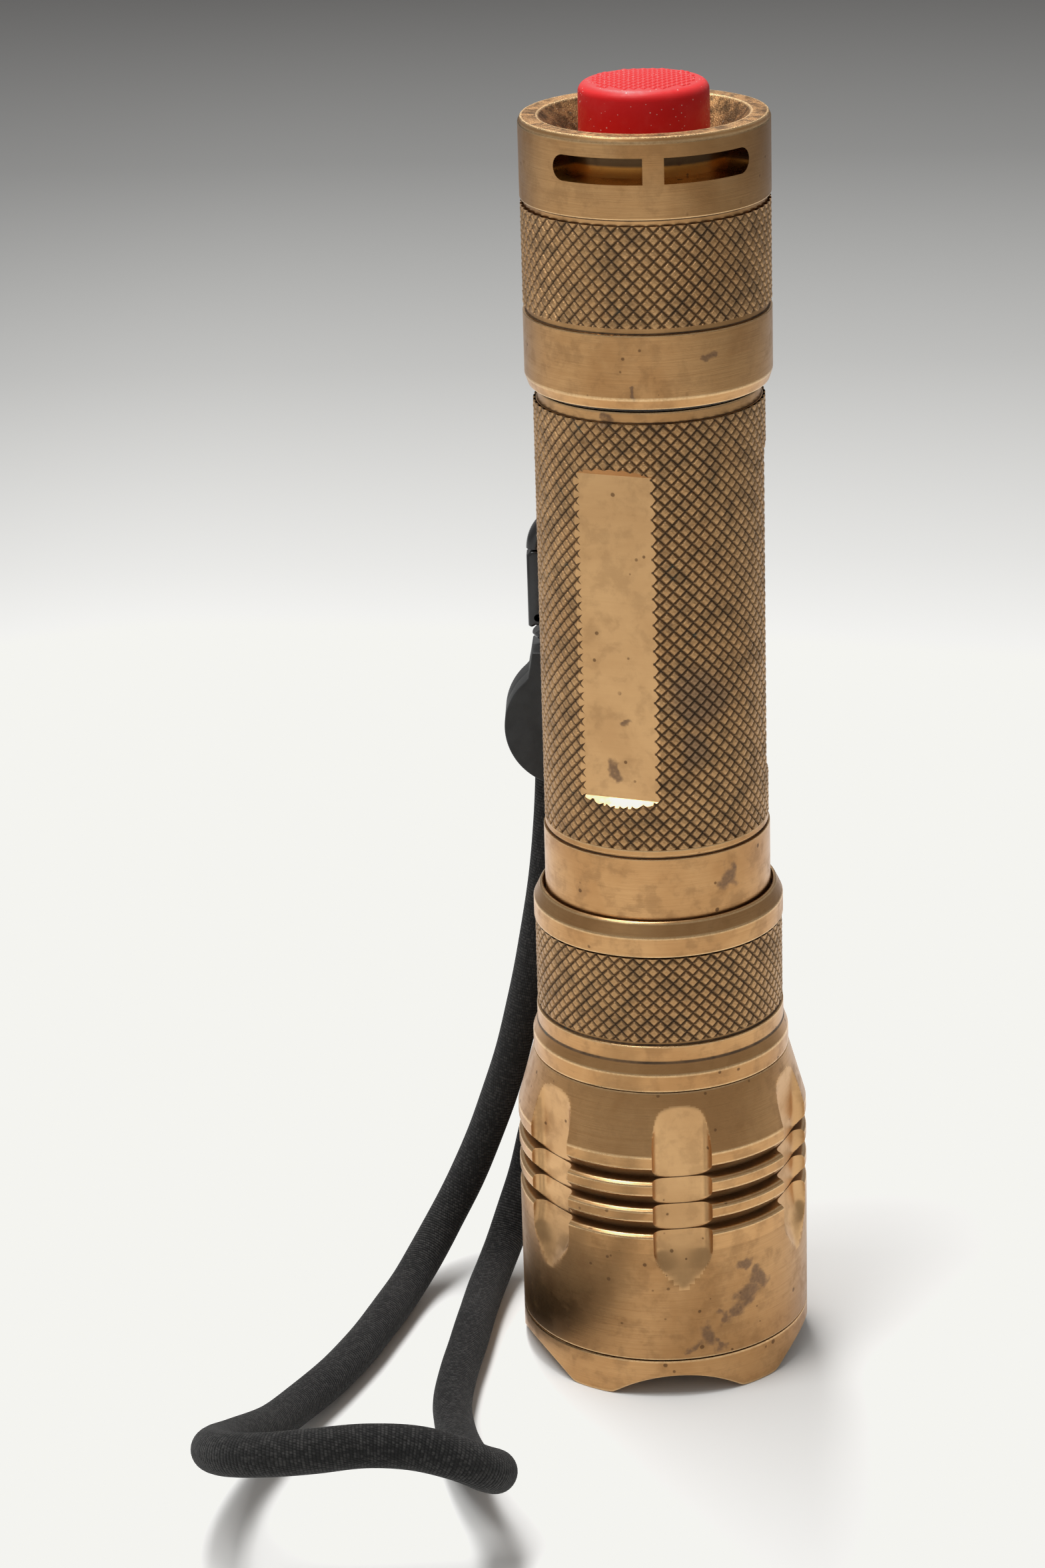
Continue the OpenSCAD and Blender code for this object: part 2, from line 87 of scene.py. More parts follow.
# The cord's route, from the joiner to the table, round the loop and back
CORD_ROUTE = [
    (-11.9, 17, 70), (-11.9, 17, 63), (-12.6, 17, 54), (-13.9, 17, 45), (-15.7, 17, 36),
    (-17.8, 17, 27.5), (-20.4, 17, 19.6), (-23.4, 16.4, 12.4), (-26.6, 14.2, 6.8),
    (-29.2, 10, 3.6), (-31.1, 5, 2.5), (-33.1, -1.5, 2.4), (-35.2, -8, 2.4), (-38, -15, 2.5),
    (-41.2, -22, 3), (-44, -29.4, 4.4), (-46.8, -37, 7.2), (-48.2, -43.4, 10),
    (-47.8, -49, 12.6), (-45.4, -53, 14.4), (-41.4, -55.2, 15.6), (-36.6, -55.8, 16.3),
    (-31.4, -55.4, 16.6), (-26.4, -55.2, 16.2), (-22.2, -54.8, 14.8), (-19.4, -53.2, 12.6),
    (-18.2, -50.2, 10.4), (-18.8, -46.2, 8), (-20.4, -41.4, 5.8), (-22, -35.6, 4),
    (-23.3, -29, 2.8), (-24.1, -21.8, 2.4), (-23.7, -14.6, 2.4), (-22.9, -8, 2.4),
    (-22.2, -1.9, 2.4), (-21.3, 5, 2.5), (-20.2, 10.6, 3.1), (-19, 14.2, 4.9), (-17.6, 16.6, 8.4),
    (-16.2, 18, 12.6), (-14.6, 18.8, 19), (-12.6, 18.9, 27), (-10.5, 18.6, 36), (-8.8, 18, 45),
    (-7.7, 17.3, 54), (-7.2, 17, 63), (-7.2, 17, 70)]

# The string's route, from its crimp round the hook's bar, through the slots and back
STRING_ROUTE = [
    (-7.5, 17.5, 112), (-7.9, 18.3, 105), (-8.7, 19.1, 98.6), (-9.2, 19.3, 95.2),
    (-9.3, 19.2, 93.4), (-9.3, 18.4, 92.3), (-9.3, 17, 91.9), (-9.3, 15.6, 92.3),
    (-9.3, 14.8, 93.4), (-9.2, 14.7, 95.2), (-8.8, 14.8, 101), (-9.2, 15, 112),
    (-8.6, 15.2, 124), (-7.2, 15.2, 134), (-6.2, 14.6, 138.6), (-5, 12.6, 139.8),
    (-3, 11, 139.8), (-0.7, 10.95, 139.8), (1.4, 11.1, 139.8), (3.2, 12.6, 139.8),
    (3.8, 15, 138.8), (2.6, 16, 134), (-1.4, 16.4, 126), (-5.4, 16.8, 119),
    (-7.3, 17.3, 113)]


# ---- camera ----

def make_camera():
    """A long lens a little above the light, turned and rolled by a degree or two."""
    pitch, yaw, roll = (math.radians(v) for v in (20.708, -1.992, -1.760))
    forward = Vector((math.sin(yaw) * math.cos(pitch), math.cos(yaw) * math.cos(pitch),
                      -math.sin(pitch)))
    right = forward.cross(Vector((0, 0, 1))).normalized()
    up = right.cross(forward)
    across = right * math.cos(roll) + up * math.sin(roll)
    upward = up * math.cos(roll) - right * math.sin(roll)
    data = bpy.data.cameras.new("camera")
    data.lens = 94.4
    data.clip_start, data.clip_end = 0.01, 20
    camera = bpy.data.objects.new("camera", data)
    turn = Matrix((across, upward, -forward)).transposed().to_4x4()
    camera.matrix_world = Matrix.Translation((0, -0.4274, 0.230)) @ turn
    bpy.context.scene.collection.objects.link(camera)
    bpy.context.scene.camera = camera


# ---- mesh helpers ----

def mesh_object(name, points, faces, marks=None):
    """A mesh object from points in millimetres. marks holds per-point values by name."""
    mesh = bpy.data.meshes.new(name)
    mesh.from_pydata([[c * MM for c in p] for p in points], [], faces)
    for key, values in (marks or {}).items():
        mesh.attributes.new(key, "FLOAT", "POINT").data.foreach_set("value", values)
    piece = bpy.data.objects.new(name, mesh)
    bpy.context.scene.collection.objects.link(piece)
    return piece


def join(name, parts):
    """Joins mesh objects into one, keeping their marks and materials."""
    bpy.ops.object.select_all(action="DESELECT")
    for part in parts:
        part.select_set(True)
    bpy.context.view_layer.objects.active = parts[0]
    bpy.ops.object.join()
    parts[0].name = name
    return parts[0]


def shade(piece, angle=30):
    """Smooth shading with sharp edges above an angle."""
    piece.data.shade_smooth()
    piece.data.set_sharp_from_angle(angle=math.radians(angle))


def apply(piece, modifier):
    bpy.context.view_layer.objects.active = piece
    bpy.ops.object.modifier_apply(modifier=modifier.name)


def bevel(piece, width, segments, angle):
    """Rounds the edges that are sharper than an angle."""
    edge = piece.modifiers.new("edge", "BEVEL")
    edge.width = width * MM
    edge.segments = segments
    edge.limit_method = "ANGLE"
    edge.angle_limit = math.radians(angle)
    apply(piece, edge)


def point_outward(piece):
    """Makes every face's normal point out of the solid."""
    bm = bmesh.new()
    bm.from_mesh(piece.data)
    bmesh.ops.remove_doubles(bm, verts=bm.verts, dist=1e-6)
    bmesh.ops.recalc_face_normals(bm, faces=bm.faces)
    bm.to_mesh(piece.data)
    bm.free()


def softened(outline, size=0.12):
    """Rounds an outline's corners a little. Returns (radius, height, edge, cavity) rows:
    edge is 1 on an outer corner, where brass is rubbed bright and a highlight is painted, and
    cavity is 1 in an inner corner, where dirt gathers and shade is painted."""
    count = len(outline)
    area = sum(outline[i - 1][0] * outline[i][1] - outline[i][0] * outline[i - 1][1]
               for i in range(count))
    sign = 1 if area > 0 else -1
    rows = []
    for i, at in enumerate(outline):
        here = Vector(at)
        back, on = Vector(outline[i - 1]) - here, Vector(outline[(i + 1) % count]) - here
        bend = math.degrees(math.atan2(back.y * on.x - back.x * on.y, -back.dot(on))) * sign
        if abs(bend) < 12:
            rows.append((*at, 0, 0))
            continue
        cut = min(size, back.length * 0.3, on.length * 0.3)
        guard = min(size * 2.4, back.length * 0.45, on.length * 0.45)
        edge, cavity = (1, 0) if bend > 0 else (0, 1)
        start = here + back.normalized() * cut
        end = here + on.normalized() * cut
        middle = start * 0.25 + here * 0.5 + end * 0.25
        rows.append((*(here + back.normalized() * guard), 0, 0))
        for p in (start, middle, end):
            rows.append((*p, edge, cavity))
        rows.append((*(here + on.normalized() * guard), 0, 0))
    return rows


def densified(rows, low, high, step):
    """Adds rows between those that are further apart than step, inside a height range."""
    dense = []
    for a, b in zip(rows, rows[1:] + rows[:1]):
        dense.append(a)
        gap = math.hypot(b[0] - a[0], b[1] - a[1])
        inside = min(a[1], b[1]) < high and max(a[1], b[1]) > low
        for k in range(1, math.ceil(gap / step) if inside else 1):
            f = k / math.ceil(gap / step)
            dense.append(tuple(p + (q - p) * f for p, q in zip(a, b)))
    return dense


def on_turn(r, turn, z):
    """A point at a radius, a turn in degrees from the front towards +X, and a height."""
    a = math.radians(turn)
    return (r * math.sin(a), -r * math.cos(a), z)


def turned(name, rows, place=on_turn, turns=None):
    """A solid of revolution from (radius, height, edge, cavity) rows. place(radius, turn,
    height) may move a point. turns lists the columns' turns in degrees, each a number or a
    function of the radius."""
    turns = turns or [360 * k / 288 for k in range(288)]
    points, edges, cavities = [], [], []
    for turn in turns:
        for r, z, edge, cavity in rows:
            points.append(place(r, turn(r) if callable(turn) else turn, z))
            edges.append(edge)
            cavities.append(cavity)
    n, m = len(turns), len(rows)
    faces = [(c * m + k, (c + 1) % n * m + k, (c + 1) % n * m + (k + 1) % m,
              c * m + (k + 1) % m) for c in range(n) for k in range(m)]
    piece = mesh_object(name, points, faces, {"edge": edges, "cavity": cavities})
    point_outward(piece)
    shade(piece)
    return piece


def knurl(name, crest, low, high, count, pitch, seed):
    """A band of diamond knurling: two families of V grooves cross, and the mesh follows them
    so that each groove has a sharp root and each diamond a slightly domed top."""
    steps = (0, 0.2, 0.5, 0.8)
    m = len(steps)
    grooved = (1, 0, 0, 0)
    rng = random.Random(seed)
    lines = count * m
    start = -math.ceil(2 * (high + pitch) / pitch) * m
    end = -math.floor(2 * (low - pitch) / pitch) * m
    points, cavities, edges = [], [], []
    width = end - start + 1
    for a in range(lines):
        u = a // m + steps[a % m]
        for j in range(start, end + 1):
            b = a + j
            v = b // m + steps[b % m]
            deep = max(grooved[a % m], grooved[b % m])
            both = grooved[a % m] and grooved[b % m]
            middle = a % m == 2 and b % m == 2
            r = crest - (KNURL_DEPTH + 0.03 * both if deep else 0.0 if middle else 0.045)
            r += rng.uniform(-0.02, 0.0) * (1 - deep)
            points.append(on_turn(r, 180 * (u + v) / count, pitch * (u - v) / 2))
            # The grooves carry the cavity mark, for dirt and painted shade, and the diamonds' rims a
            # little of the edge mark, for a painted highlight.
            cavities.append(deep)
            edges.append(0.0 if deep or middle else 0.3)

    def at(a, j):
        return (a % lines) * width + j - start

    faces = []
    for a in range(lines):
        for j in range(start + 1, end):
            faces.append((at(a, j), at(a + 1, j - 1), at(a + 1, j), at(a, j + 1)))
    piece = mesh_object(name, points, faces, {"edge": edges, "cavity": cavities})
    trim(piece, low, -1)
    trim(piece, high, 1)
    paint(piece, lambda r, turn, z: "knurled")
    return piece


def trim(piece, height, way):
    """Cuts a mesh at a height and clears what is above it, or below it where way is -1."""
    bm = bmesh.new()
    bm.from_mesh(piece.data)
    everything = bm.verts[:] + bm.edges[:] + bm.faces[:]
    bmesh.ops.bisect_plane(bm, geom=everything, dist=1e-7, plane_co=Vector((0, 0, height)) * MM,
                           plane_no=(0, 0, way), clear_outer=True)
    bmesh.ops.delete(bm, geom=[v for v in bm.verts if not v.link_faces], context="VERTS")
    bm.to_mesh(piece.data)
    bm.free()


def mill_flats(piece):
    """Cuts the flats along the body tube, with a ramp at each end, into a knurled mesh."""
    for turn in FLAT_TURNS:
        out = Vector(on_turn(1, turn, 0))
        floor = out * FLAT_DEPTH
        bm = bmesh.new()
        bm.from_mesh(piece.data)
        for height, normal in ((0, out), (FLAT_START, out + Vector((0, 0, 1))),
                               (FLAT_END, out - Vector((0, 0, 1))),
                               (FLAT_START, Vector((0, 0, 1))), (FLAT_END, Vector((0, 0, 1)))):
            near = [f for f in bm.faces if f.calc_center_median().dot(out) > 11.2 * MM]
            parts = near + list({e for f in near for e in f.edges})
            parts += list({v for f in near for v in f.verts})
            bmesh.ops.bisect_plane(bm, geom=parts, dist=1e-8, plane_no=normal,
                                   plane_co=(floor + Vector((0, 0, height))) * MM)
        edge = bm.verts.layers.float["edge"]
        cavity = bm.verts.layers.float["cavity"]
        cut = set()
        for v in bm.verts:
            z = v.co.z / MM
            limit = FLAT_DEPTH + max(FLAT_START - z, z - FLAT_END, 0)
            reach = v.co.dot(out) / MM
            if reach > limit - 1e-4:
                v.co.x *= limit / reach
                v.co.y *= limit / reach
                v[edge] = v[cavity] = 0
                cut.add(v)
        for f in bm.faces:
            if all(v in cut for v in f.verts):
                f.material_index = BRASSES.index("milled")
        bm.to_mesh(piece.data)
        bm.free()


def threads(root, crest, start, count):
    """Outline points of shallow thread ridges, one to a millimetre."""
    points = []
    for k in range(count):
        z = start + k
        points += [(root, z), (crest, z + 0.2), (crest, z + 0.4), (root, z + 0.6)]
    return points


def carve(piece, cutters):
    """Cuts closed meshes out of a piece with exact booleans, then removes them."""
    for cutter in cutters:
        point_outward(cutter)
        cut = piece.modifiers.new("cut", "BOOLEAN")
        cut.operation = "DIFFERENCE"
        cut.solver = "EXACT"
        cut.object = cutter
        apply(piece, cut)
        bpy.data.objects.remove(cutter)
    shade(piece)


def sector(name, inner, outer, low, high, start, end, round_from=None):
    """A closed block between two radii, two heights and two turns. It ends in a half round at
    the turn end, if round_from gives the turn where that starts."""
    steps = 48
    points = []
    middle, half = (low + high) / 2, (high - low) / 2
    for k in range(steps + 1):
        turn = start + (end - start) * math.sin(math.radians(90 * k / steps))
        reach = half
        if round_from is not None:
            part = min(max((turn - round_from) / (end - round_from), 0), 0.995)
            reach = half * math.sqrt(1 - part ** 2)
        points += [on_turn(inner, turn, middle - reach), on_turn(outer, turn, middle - reach),
                   on_turn(outer, turn, middle + reach), on_turn(inner, turn, middle + reach)]
    faces = [(0, 1, 2, 3), tuple(4 * steps + k for k in (3, 2, 1, 0))]
    for k in range(steps):
        for s in range(4):
            faces.append((4 * k + s, 4 * k + 4 + s, 4 * k + 4 + (s + 1) % 4, 4 * k + (s + 1) % 4))
    return mesh_object(name, points, faces)


# ---- brass pieces ----

def off_centre(turn, first, count):
    """How far, in radians, a turn is from the nearest of count even places."""
    step = 360 / count
    return math.radians((turn - first + step / 2) % step - step / 2)


def bezel_place(r, turn, z):
    """Lifts the bezel's foot into five shallow arches with softly blended lands."""
    arch_r, arch_sunk, blend, top = 11.5, 8.8, 0.3, 4.2
    across = r * math.sin(off_centre(turn, SCALLOP_TURN, SCALLOPS))
    arch = math.sqrt(max(arch_r ** 2 - across ** 2, 0)) - arch_sunk
    lift = (arch + math.hypot(arch, blend)) / 2
    if z < top:
        z = lift + z * (top - lift) / top
    return on_turn(r, turn, z)


def make_bezel():
    outline = [(13.6, 0), (HEAD_R, 0), (HEAD_R, 4.62), (15.45, 4.62), (15.45, 8.6),
               (14.3, 8.6), (14.3, 4), (13.6, 3.4)]
    rows = densified(softened(outline, 0.14), -1, 3, 0.5)
    piece = turned("bezel_turned", rows, bezel_place, [360 * k / 540 for k in range(540)])
    finish_piece(piece, "head", "bezel_ring", "brass_turned")


def flute_limit(across, z):
    """How far from the axis the flute cutter leaves the metal, at a place on the head. Below
    the height full it runs out, and below pointed it narrows to a point."""
    half_width, corner, full, pointed = 3.35, 1.2, 20.0, 18.0
    across = abs(across)
    if across >= half_width:
        return 99
    narrowing = math.hypot(1.05 * across, 0.7) - 0.7
    drop = max(full - z + narrowing * min(max((pointed - z) / 2, 0), 1), 0)
    floor = FLUTE_FLOOR + 0.12 * drop + 0.018 * drop ** 2
    inset = max(across - (half_width - corner), 0)
    return floor + corner - math.sqrt(corner ** 2 - inset ** 2)


def head_place(r, turn, z):
    off = off_centre(turn, FLUTE_TURN, FLUTES)
    reach, across = r * math.cos(off), r * math.sin(off)
    if 10 < z < 37 and r > 14:
        reach = min(reach, flute_limit(across, z))
    a = math.radians(turn) - off
    return (reach * math.sin(a) + across * math.cos(a), -reach * math.cos(a) + across * math.sin(a), z)


def flute_columns():
    """Turns that keep their distance from each flute's centre, so that its walls are crisp."""
    spread = [0.6, 1.2, 1.8, 2.15, 2.4, 2.65, 2.85, 3.0, 3.12, 3.22, 3.29, 3.335, 3.349, 3.36, 3.6]
    inside = [-s for s in reversed(spread)] + [0] + spread
    columns = []
    for f in range(FLUTES):
        centre = FLUTE_TURN + 360 / FLUTES * f
        for s in inside:
            columns.append(lambda r, c=centre, s=s: c + math.degrees(math.asin(s / r)))
        for k in range(1, 10):
            def between(r, c=centre, k=k):
                side = math.degrees(math.asin(spread[-1] / r))
                return c + side + (360 / FLUTES - 2 * side) * k / 10
            columns.append(between)
    return columns


def make_head():
    grooves = []
    for z in (20.4, 23.6, 26.85):
        grooves += [(HEAD_R, z - 0.35), (HEAD_R - 0.35, z), (14.84, z), (HEAD_R, z + 1.7)]
    outline = ([(15.5, 4.75), (HEAD_R, 4.75)] + grooves
               + [(HEAD_R, 29.95), (14.47, 36.97), (12.0, 36.97), (12.0, 34), (13.9, 34),
                  (13.9, 14), (14.5, 14), (14.5, 12.6), (15.1, 12.6), (15.1, 9), (15.5, 9)])
    rows = densified(softened(outline, 0.09), 12.5, 36, 0.22)
    shell = turned("head_turned", rows, head_place, flute_columns())
    paint_groove_shade(shell)

    def finish(r, turn, z):
        if 13 < z < 36.5 and r > 14.2 and in_flute(r, turn, z):
            return "milled"
        return "brushed" if r > 14 and (z > 30.1 or z < 18) else "turned"

    paint(shell, finish)
    ridges = threads(12.6, 12.83, 45, 5)
    neck = turned("head_neck", softened(
        [(12.0, 34.2), (12.0, 37), (12.6, 37), (12.6, 42.4), (12.05, 42.4), (12.05, 43.6),
         (12.6, 43.6)] + ridges + [(12.7, 50.4), (12.7, 55.6), (11.57, 55.6), (11.57, 44.6),
                                   (11, 44.6), (11, 38.4), (11.65, 38.4), (11.65, 34.2)], 0.08))
    slot = sector("port_slot", 9, 15, 38.4, 41.5, PORT_TURN - 18.2, PORT_TURN + 18.2)
    hole = swept("light_hole", [Vector(on_turn(r, PORT_TURN + 32, 40)) for r in (9, 15)],
                 circle(0.8, 40))
    carve(neck, [slot, hole])
    paint(neck)
    piece = join("head_shell_turned", [shell, neck])
    finish_piece(piece, "head", "head_shell")


def polar(point):
    """A point's radius, turn and height, in millimetres and degrees."""
    x, y, z = (c / MM for c in point)
    return math.hypot(x, y), math.degrees(math.atan2(x, -y)), z


def in_flute(r, turn, z):
    off = off_centre(turn, FLUTE_TURN, FLUTES)
    return r * math.cos(off) > flute_limit(r * math.sin(off), z) - 0.05


def paint_groove_shade(piece):
    """Marks the depth of the head's three grooves as a cavity, so that shade is painted into them."""
    marks = piece.data.attributes["cavity"].data
    edges = piece.data.attributes["edge"].data
    for vertex in piece.data.vertices:
        r, turn, z = polar(vertex.co)
        depth = HEAD_R - 0.15 - r
        if not 14 < z < 36 or depth < 0:
            continue
        if in_flute(r, turn, z):
            edges[vertex.index].value = 0
        elif 20 < z < 28.6:
            marks[vertex.index].value = min(depth / 1.6, 0.55)


def paint(piece, choose=lambda r, turn, z: "turned"):
    """Gives a brass mesh one slot for each finish, in the same order on all of them, and sets
    each face's finish from its radius, turn and height."""
    for finish in BRASSES:
        piece.data.materials.append(MATERIALS["brass_" + finish])
    for face in piece.data.polygons:
        face.material_index = BRASSES.index(choose(*polar(face.center)))


def make_collar():
    outline = [(12.9, 37.05), (14.47, 37.05), (14.47, 39.03), (COLLAR_R, 40.4),
               (COLLAR_R, 42.3), (13.62, 42.4), (13.5, 42.8), (13.5, 52.75), (13.62, 52.9),
               (COLLAR_R + 0.03, 53), (COLLAR_R + 0.03, 55.25), (13.28, 56.7), (13.1, 56.9),
               (12.9, 56.9)]
    shell = turned("collar_turned", softened(outline, 0.1))
    paint(shell, lambda r, turn, z: "brushed" if 55.4 < z < 56.6 and r > 13.2 else "turned")
    band = knurl("collar_knurl", COLLAR_R - 0.05, 42.8, 52.75, 59, 1.463, 3)
    piece = join("port_collar_turned", [shell, band])
    finish_piece(piece, "collar", "port_collar")


def make_tube():
    head_threads = threads(11.2, 11.5, 45.8, 7)
    tail_threads = threads(11.0, 11.28, 117, 7)
    outline = ([(9.6, 45), (11.2, 45)] + head_threads
               + [(11.2, 53.8), (10.75, 53.8), (10.75, 55), (11.45, 55), (11.45, 55.7),
                  (12.6, 55.7), (12.6, 64), (12.25, 64), (12.25, 64.3), (12.42, 64.3),
                  (12.42, 65), (11.2, 65.2), (11.2, 112.7), (12.2, 112.85), (12, 112.87),
                  (12, 114.05), (11.05, 114.05), (11.05, 115.5), (11.28, 115.5),
                  (11.28, 116.2), (11, 116.2)] + tail_threads + [(11, 124.5), (9.6, 124.5)])
    shell = turned("tube_turned", softened(outline, 0.1))
    paint(shell)
    band = knurl("tube_knurl", TUBE_R, 65, 112.85, 53, 1.463, 2)
    mill_flats(band)
    piece = join("body_tube_turned", [shell, band])
    finish_piece(piece, "tube", "body_tube")


def make_tailcap():
    outline = [(12.5, 114.6), (12.9, 114.6), (TAIL_R, 115.75), (TAIL_R, 122.6),
               (12.95, 122.65), (12.9, 123.3), (12.9, 134.06), (12.95, 134.7),
               (TAIL_R, 134.75), (TAIL_R, 142.75), (13.04, 143.3), (11.2, 143.3),
               (9.4, 141.2), (7.94, 139.5), (7.2, 139.5), (7.2, 137.4), (10.3, 137.4),
               (10.3, 125), (11.37, 124.8), (11.37, 116), (12.5, 116)]
    shell = turned("tailcap_turned", softened(outline, 0.1))
    cutters = []
    half_round = math.degrees((SLOT_HIGH - SLOT_LOW) / 2 / TAIL_R)
    for side in (0, 180):
        left, right = (side + t for t in SLOT_SPAN)
        gap_left, gap_right = (side + t for t in BRIDGE_SPAN)
        cutters.append(sector("slot", 10.2, 14.5, SLOT_LOW, SLOT_HIGH, gap_left,
                              left - half_round, left))
        cutters.append(sector("slot", 10.2, 14.5, SLOT_LOW, SLOT_HIGH, gap_right,
                              right + half_round, right))
        cutters.append(sector("slot", 10.25, 11.85, SLOT_LOW + 0.02, SLOT_HIGH - 0.02,
                              gap_left - 3, gap_right + 3))
    carve(shell, cutters)
    # In the slots the edge mark is cleared and the cavity mark is set a little, which darkens them as
    # dirt and painted shade.
    for key, level in (("edge", 0), ("cavity", 0.2)):
        marks = shell.data.attributes[key].data
        for vertex in shell.data.vertices:
            r, turn, z = polar(vertex.co)
            if SLOT_LOW - 0.05 < z < SLOT_HIGH + 0.05 and 10.15 < r < 13.2:
                marks[vertex.index].value = level

    def finish(r, turn, z):
        in_dish = 7.5 < r < 11.25 and 139.45 < z and (r - 7.9) * 1.15 + 139.3 < z
        if in_dish or z > 143.2:
            return "sandy"
        in_slot = 9.9 < r < 13.2 and SLOT_LOW - 0.05 < z < SLOT_HIGH + 0.05
        return "pocket" if in_slot else "turned"

    paint(shell, finish)
    band = knurl("tail_knurl", TAIL_R, 123.3, 134.06, 56, 1.49, 4)
    piece = join("tailcap_turned", [shell, band])
    finish_piece(piece, "tailcap", "tailcap_shell")


def finish_piece(piece, body, node, material=None):
    """Gives a piece its body and, if it has no brass slots, its material, and hides the CAD node
    it stands for."""
    if material:
        piece.data.materials.append(MATERIALS[material])
    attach(piece, body)
    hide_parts(node)


# ---- silicone, plastic and cord pieces ----

def smooth_path(route, step):
    """Points about a step apart on a smooth curve through the route's points."""
    points = [Vector(p) for p in route]
    path = []
    for i in range(len(points) - 1):
        a, b = points[max(i - 1, 0)], points[i]
        c, d = points[i + 1], points[min(i + 2, len(points) - 1)]
        count = max(round((c - b).length / step), 1)
        for k in range(count):
            t = k / count
            path.append(0.5 * (2 * b + (c - a) * t + (2 * a - 5 * b + 4 * c - d) * t * t
                               + (3 * b - a - 3 * c + d) * t ** 3))
    return path + [points[-1]]


def swept(name, path, outline, size=None):
    """Sweeps a closed outline along a path without twisting it. size(i) may scale it. The
    marks along and around give each point's place on the surface, in mm and in turns."""
    sides = len(outline)
    points, along, around = [], [], []
    travelled = 0
    side = None
    for i, here in enumerate(path):
        ahead = (path[min(i + 1, len(path) - 1)] - path[max(i - 1, 0)]).normalized()
        if side is None:
            side = ahead.cross(Vector((0, 1, 0)) if abs(ahead.y) < 0.9 else Vector((1, 0, 0)))
        side = (side - ahead * side.dot(ahead)).normalized()
        up = ahead.cross(side)
        travelled += (here - path[i - 1]).length if i else 0
        scale = size(i) if size else 1
        for k, (x, y) in enumerate(outline):
            points.append(here + (side * x + up * y) * scale)
            along.append(travelled)
            around.append(min(k, sides - k) / sides * 2)
    faces = [(i * sides + k, i * sides + (k + 1) % sides, (i + 1) * sides + (k + 1) % sides,
              (i + 1) * sides + k) for i in range(len(path) - 1) for k in range(sides)]
    last = (len(path) - 1) * sides
    faces.append(tuple(reversed(range(sides))))
    faces.append(tuple(last + k for k in range(sides)))
    piece = mesh_object(name, points, faces, {"along": along, "around": around})
    shade(piece, 50)
    return piece


def circle(radius, sides):
    return [(radius * math.cos(math.tau * k / sides), radius * math.sin(math.tau * k / sides))
            for k in range(sides)]


def cord_girth(path):
    """The wrist cord's size along its path: thinner where it hangs, fuller along its front."""
    rng = random.Random(7)
    waves = [(rng.uniform(0.01, 0.03), rng.uniform(0, 6), rng.uniform(9, 30)) for _ in range(4)]

    def girth(i):
        hanging = min(max(path[i].z / 30 - 0.2, 0), 1) if path[i].y > 5 else 0
        front = min(max(-path[i].y / 25 - 1, 0), 1)
        uneven = 0.3 * sum(a * math.sin(i * 0.7 / w * 6 + p) for a, p, w in waves)
        return 0.985 - 0.065 * hanging + 0.05 * front + uneven

    return girth


def make_cord(name, node, route, gap, diameter, sides, girth=None):
    """A cord with points a gap apart on its route."""
    path = smooth_path(route, gap)
    cord = swept(name, path, circle(diameter / 2, sides), girth and girth(path))
    finish_piece(cord, "tailcap", node, "cord_knit")


def button_dome(r):
    """How high the middle of the button's top rises above its rim."""
    return 0.26 * (1 - min(r / 5.8, 1) ** 2)


def button_diamonds(top):
    """Small raised diamonds, each on three levels, in a grid on the button's top."""
    pitch, tall, field_r = 1.0, 1.24, 5.5
    points, faces = [], []
    for i in range(-11, 12):
        for j in range(-11, 12):
            x, y = (i + j) * pitch / 2, (i - j) * pitch * tall / 2
            if math.hypot(x, y) > field_r:
                continue
            base = len(points)
            foot = top + button_dome(math.hypot(x, y))
            for level, reach in ((foot - 0.08, 0.45), (foot + 0.07, 0.37), (foot + 0.11, 0.25)):
                for a, b in ((1, 0), (0, tall), (-1, 0), (0, -tall)):
                    points.append((x + a * reach, y + b * reach, level))
            for ring in (base, base + 4):
                for k in range(4):
                    after = (k + 1) % 4
                    faces.append((ring + k, ring + after, ring + 4 + after, ring + 4 + k))
            faces.append(tuple(base + 8 + k for k in range(4)))
    blank = [0] * len(points)
    bumps = mesh_object("button_diamonds", points, faces, {"edge": blank, "cavity": blank})
    bevel(bumps, 0.05, 2, 30)
    bumps.data.shade_smooth()
    return bumps


def make_button():
    """The silicone button: a soft-edged cap with small raised diamonds on its top."""
    fillet = 1.1
    top = BUTTON_TOP - 0.32
    profile = [(5.7, 139.2), (6.95, 139.2), (6.95, 140), (6.92, 143)]
    profile += arc(BUTTON_R - fillet, top - fillet, fillet, 0, 90, 8)
    profile += [(r, top + button_dome(r)) for r in (5.0, 4.0, 3.0, 2.0, 1.0, 0.01)]
    profile += [(0.01, 145.4), (5.7, 145.4)]
    cap = turned("button_cap", [(r, z, 0, 0) for r, z in profile])
    shade(cap, 60)
    piece = join("switch_boot_silicone", [cap, button_diamonds(top)])
    finish_piece(piece, "button", "switch_boot", "silicone")


def rounded(name, outline, low, high, edge, segments):
    """A slab cut to an (x, z) outline between two depths, with rounded edges."""
    count = len(outline)
    points = [(x, low, z) for x, z in outline] + [(x, high, z) for x, z in outline]
    faces = [tuple(range(count)), tuple(range(2 * count - 1, count - 1, -1))]
    faces += [(k, k + count, (k + 1) % count + count, (k + 1) % count) for k in range(count)]
    piece = mesh_object(name, points, faces)
    point_outward(piece)
    bevel(piece, edge, segments, 45)
    shade(piece, 40)
    return piece


def arc(cx, cz, radius, start, end, steps):
    """Points on an arc, with its angles in degrees counted from +X towards +Z."""
    angles = [math.radians(start + (end - start) * k / steps) for k in range(steps + 1)]
    return [(cx + radius * math.cos(a), cz + radius * math.sin(a)) for a in angles]


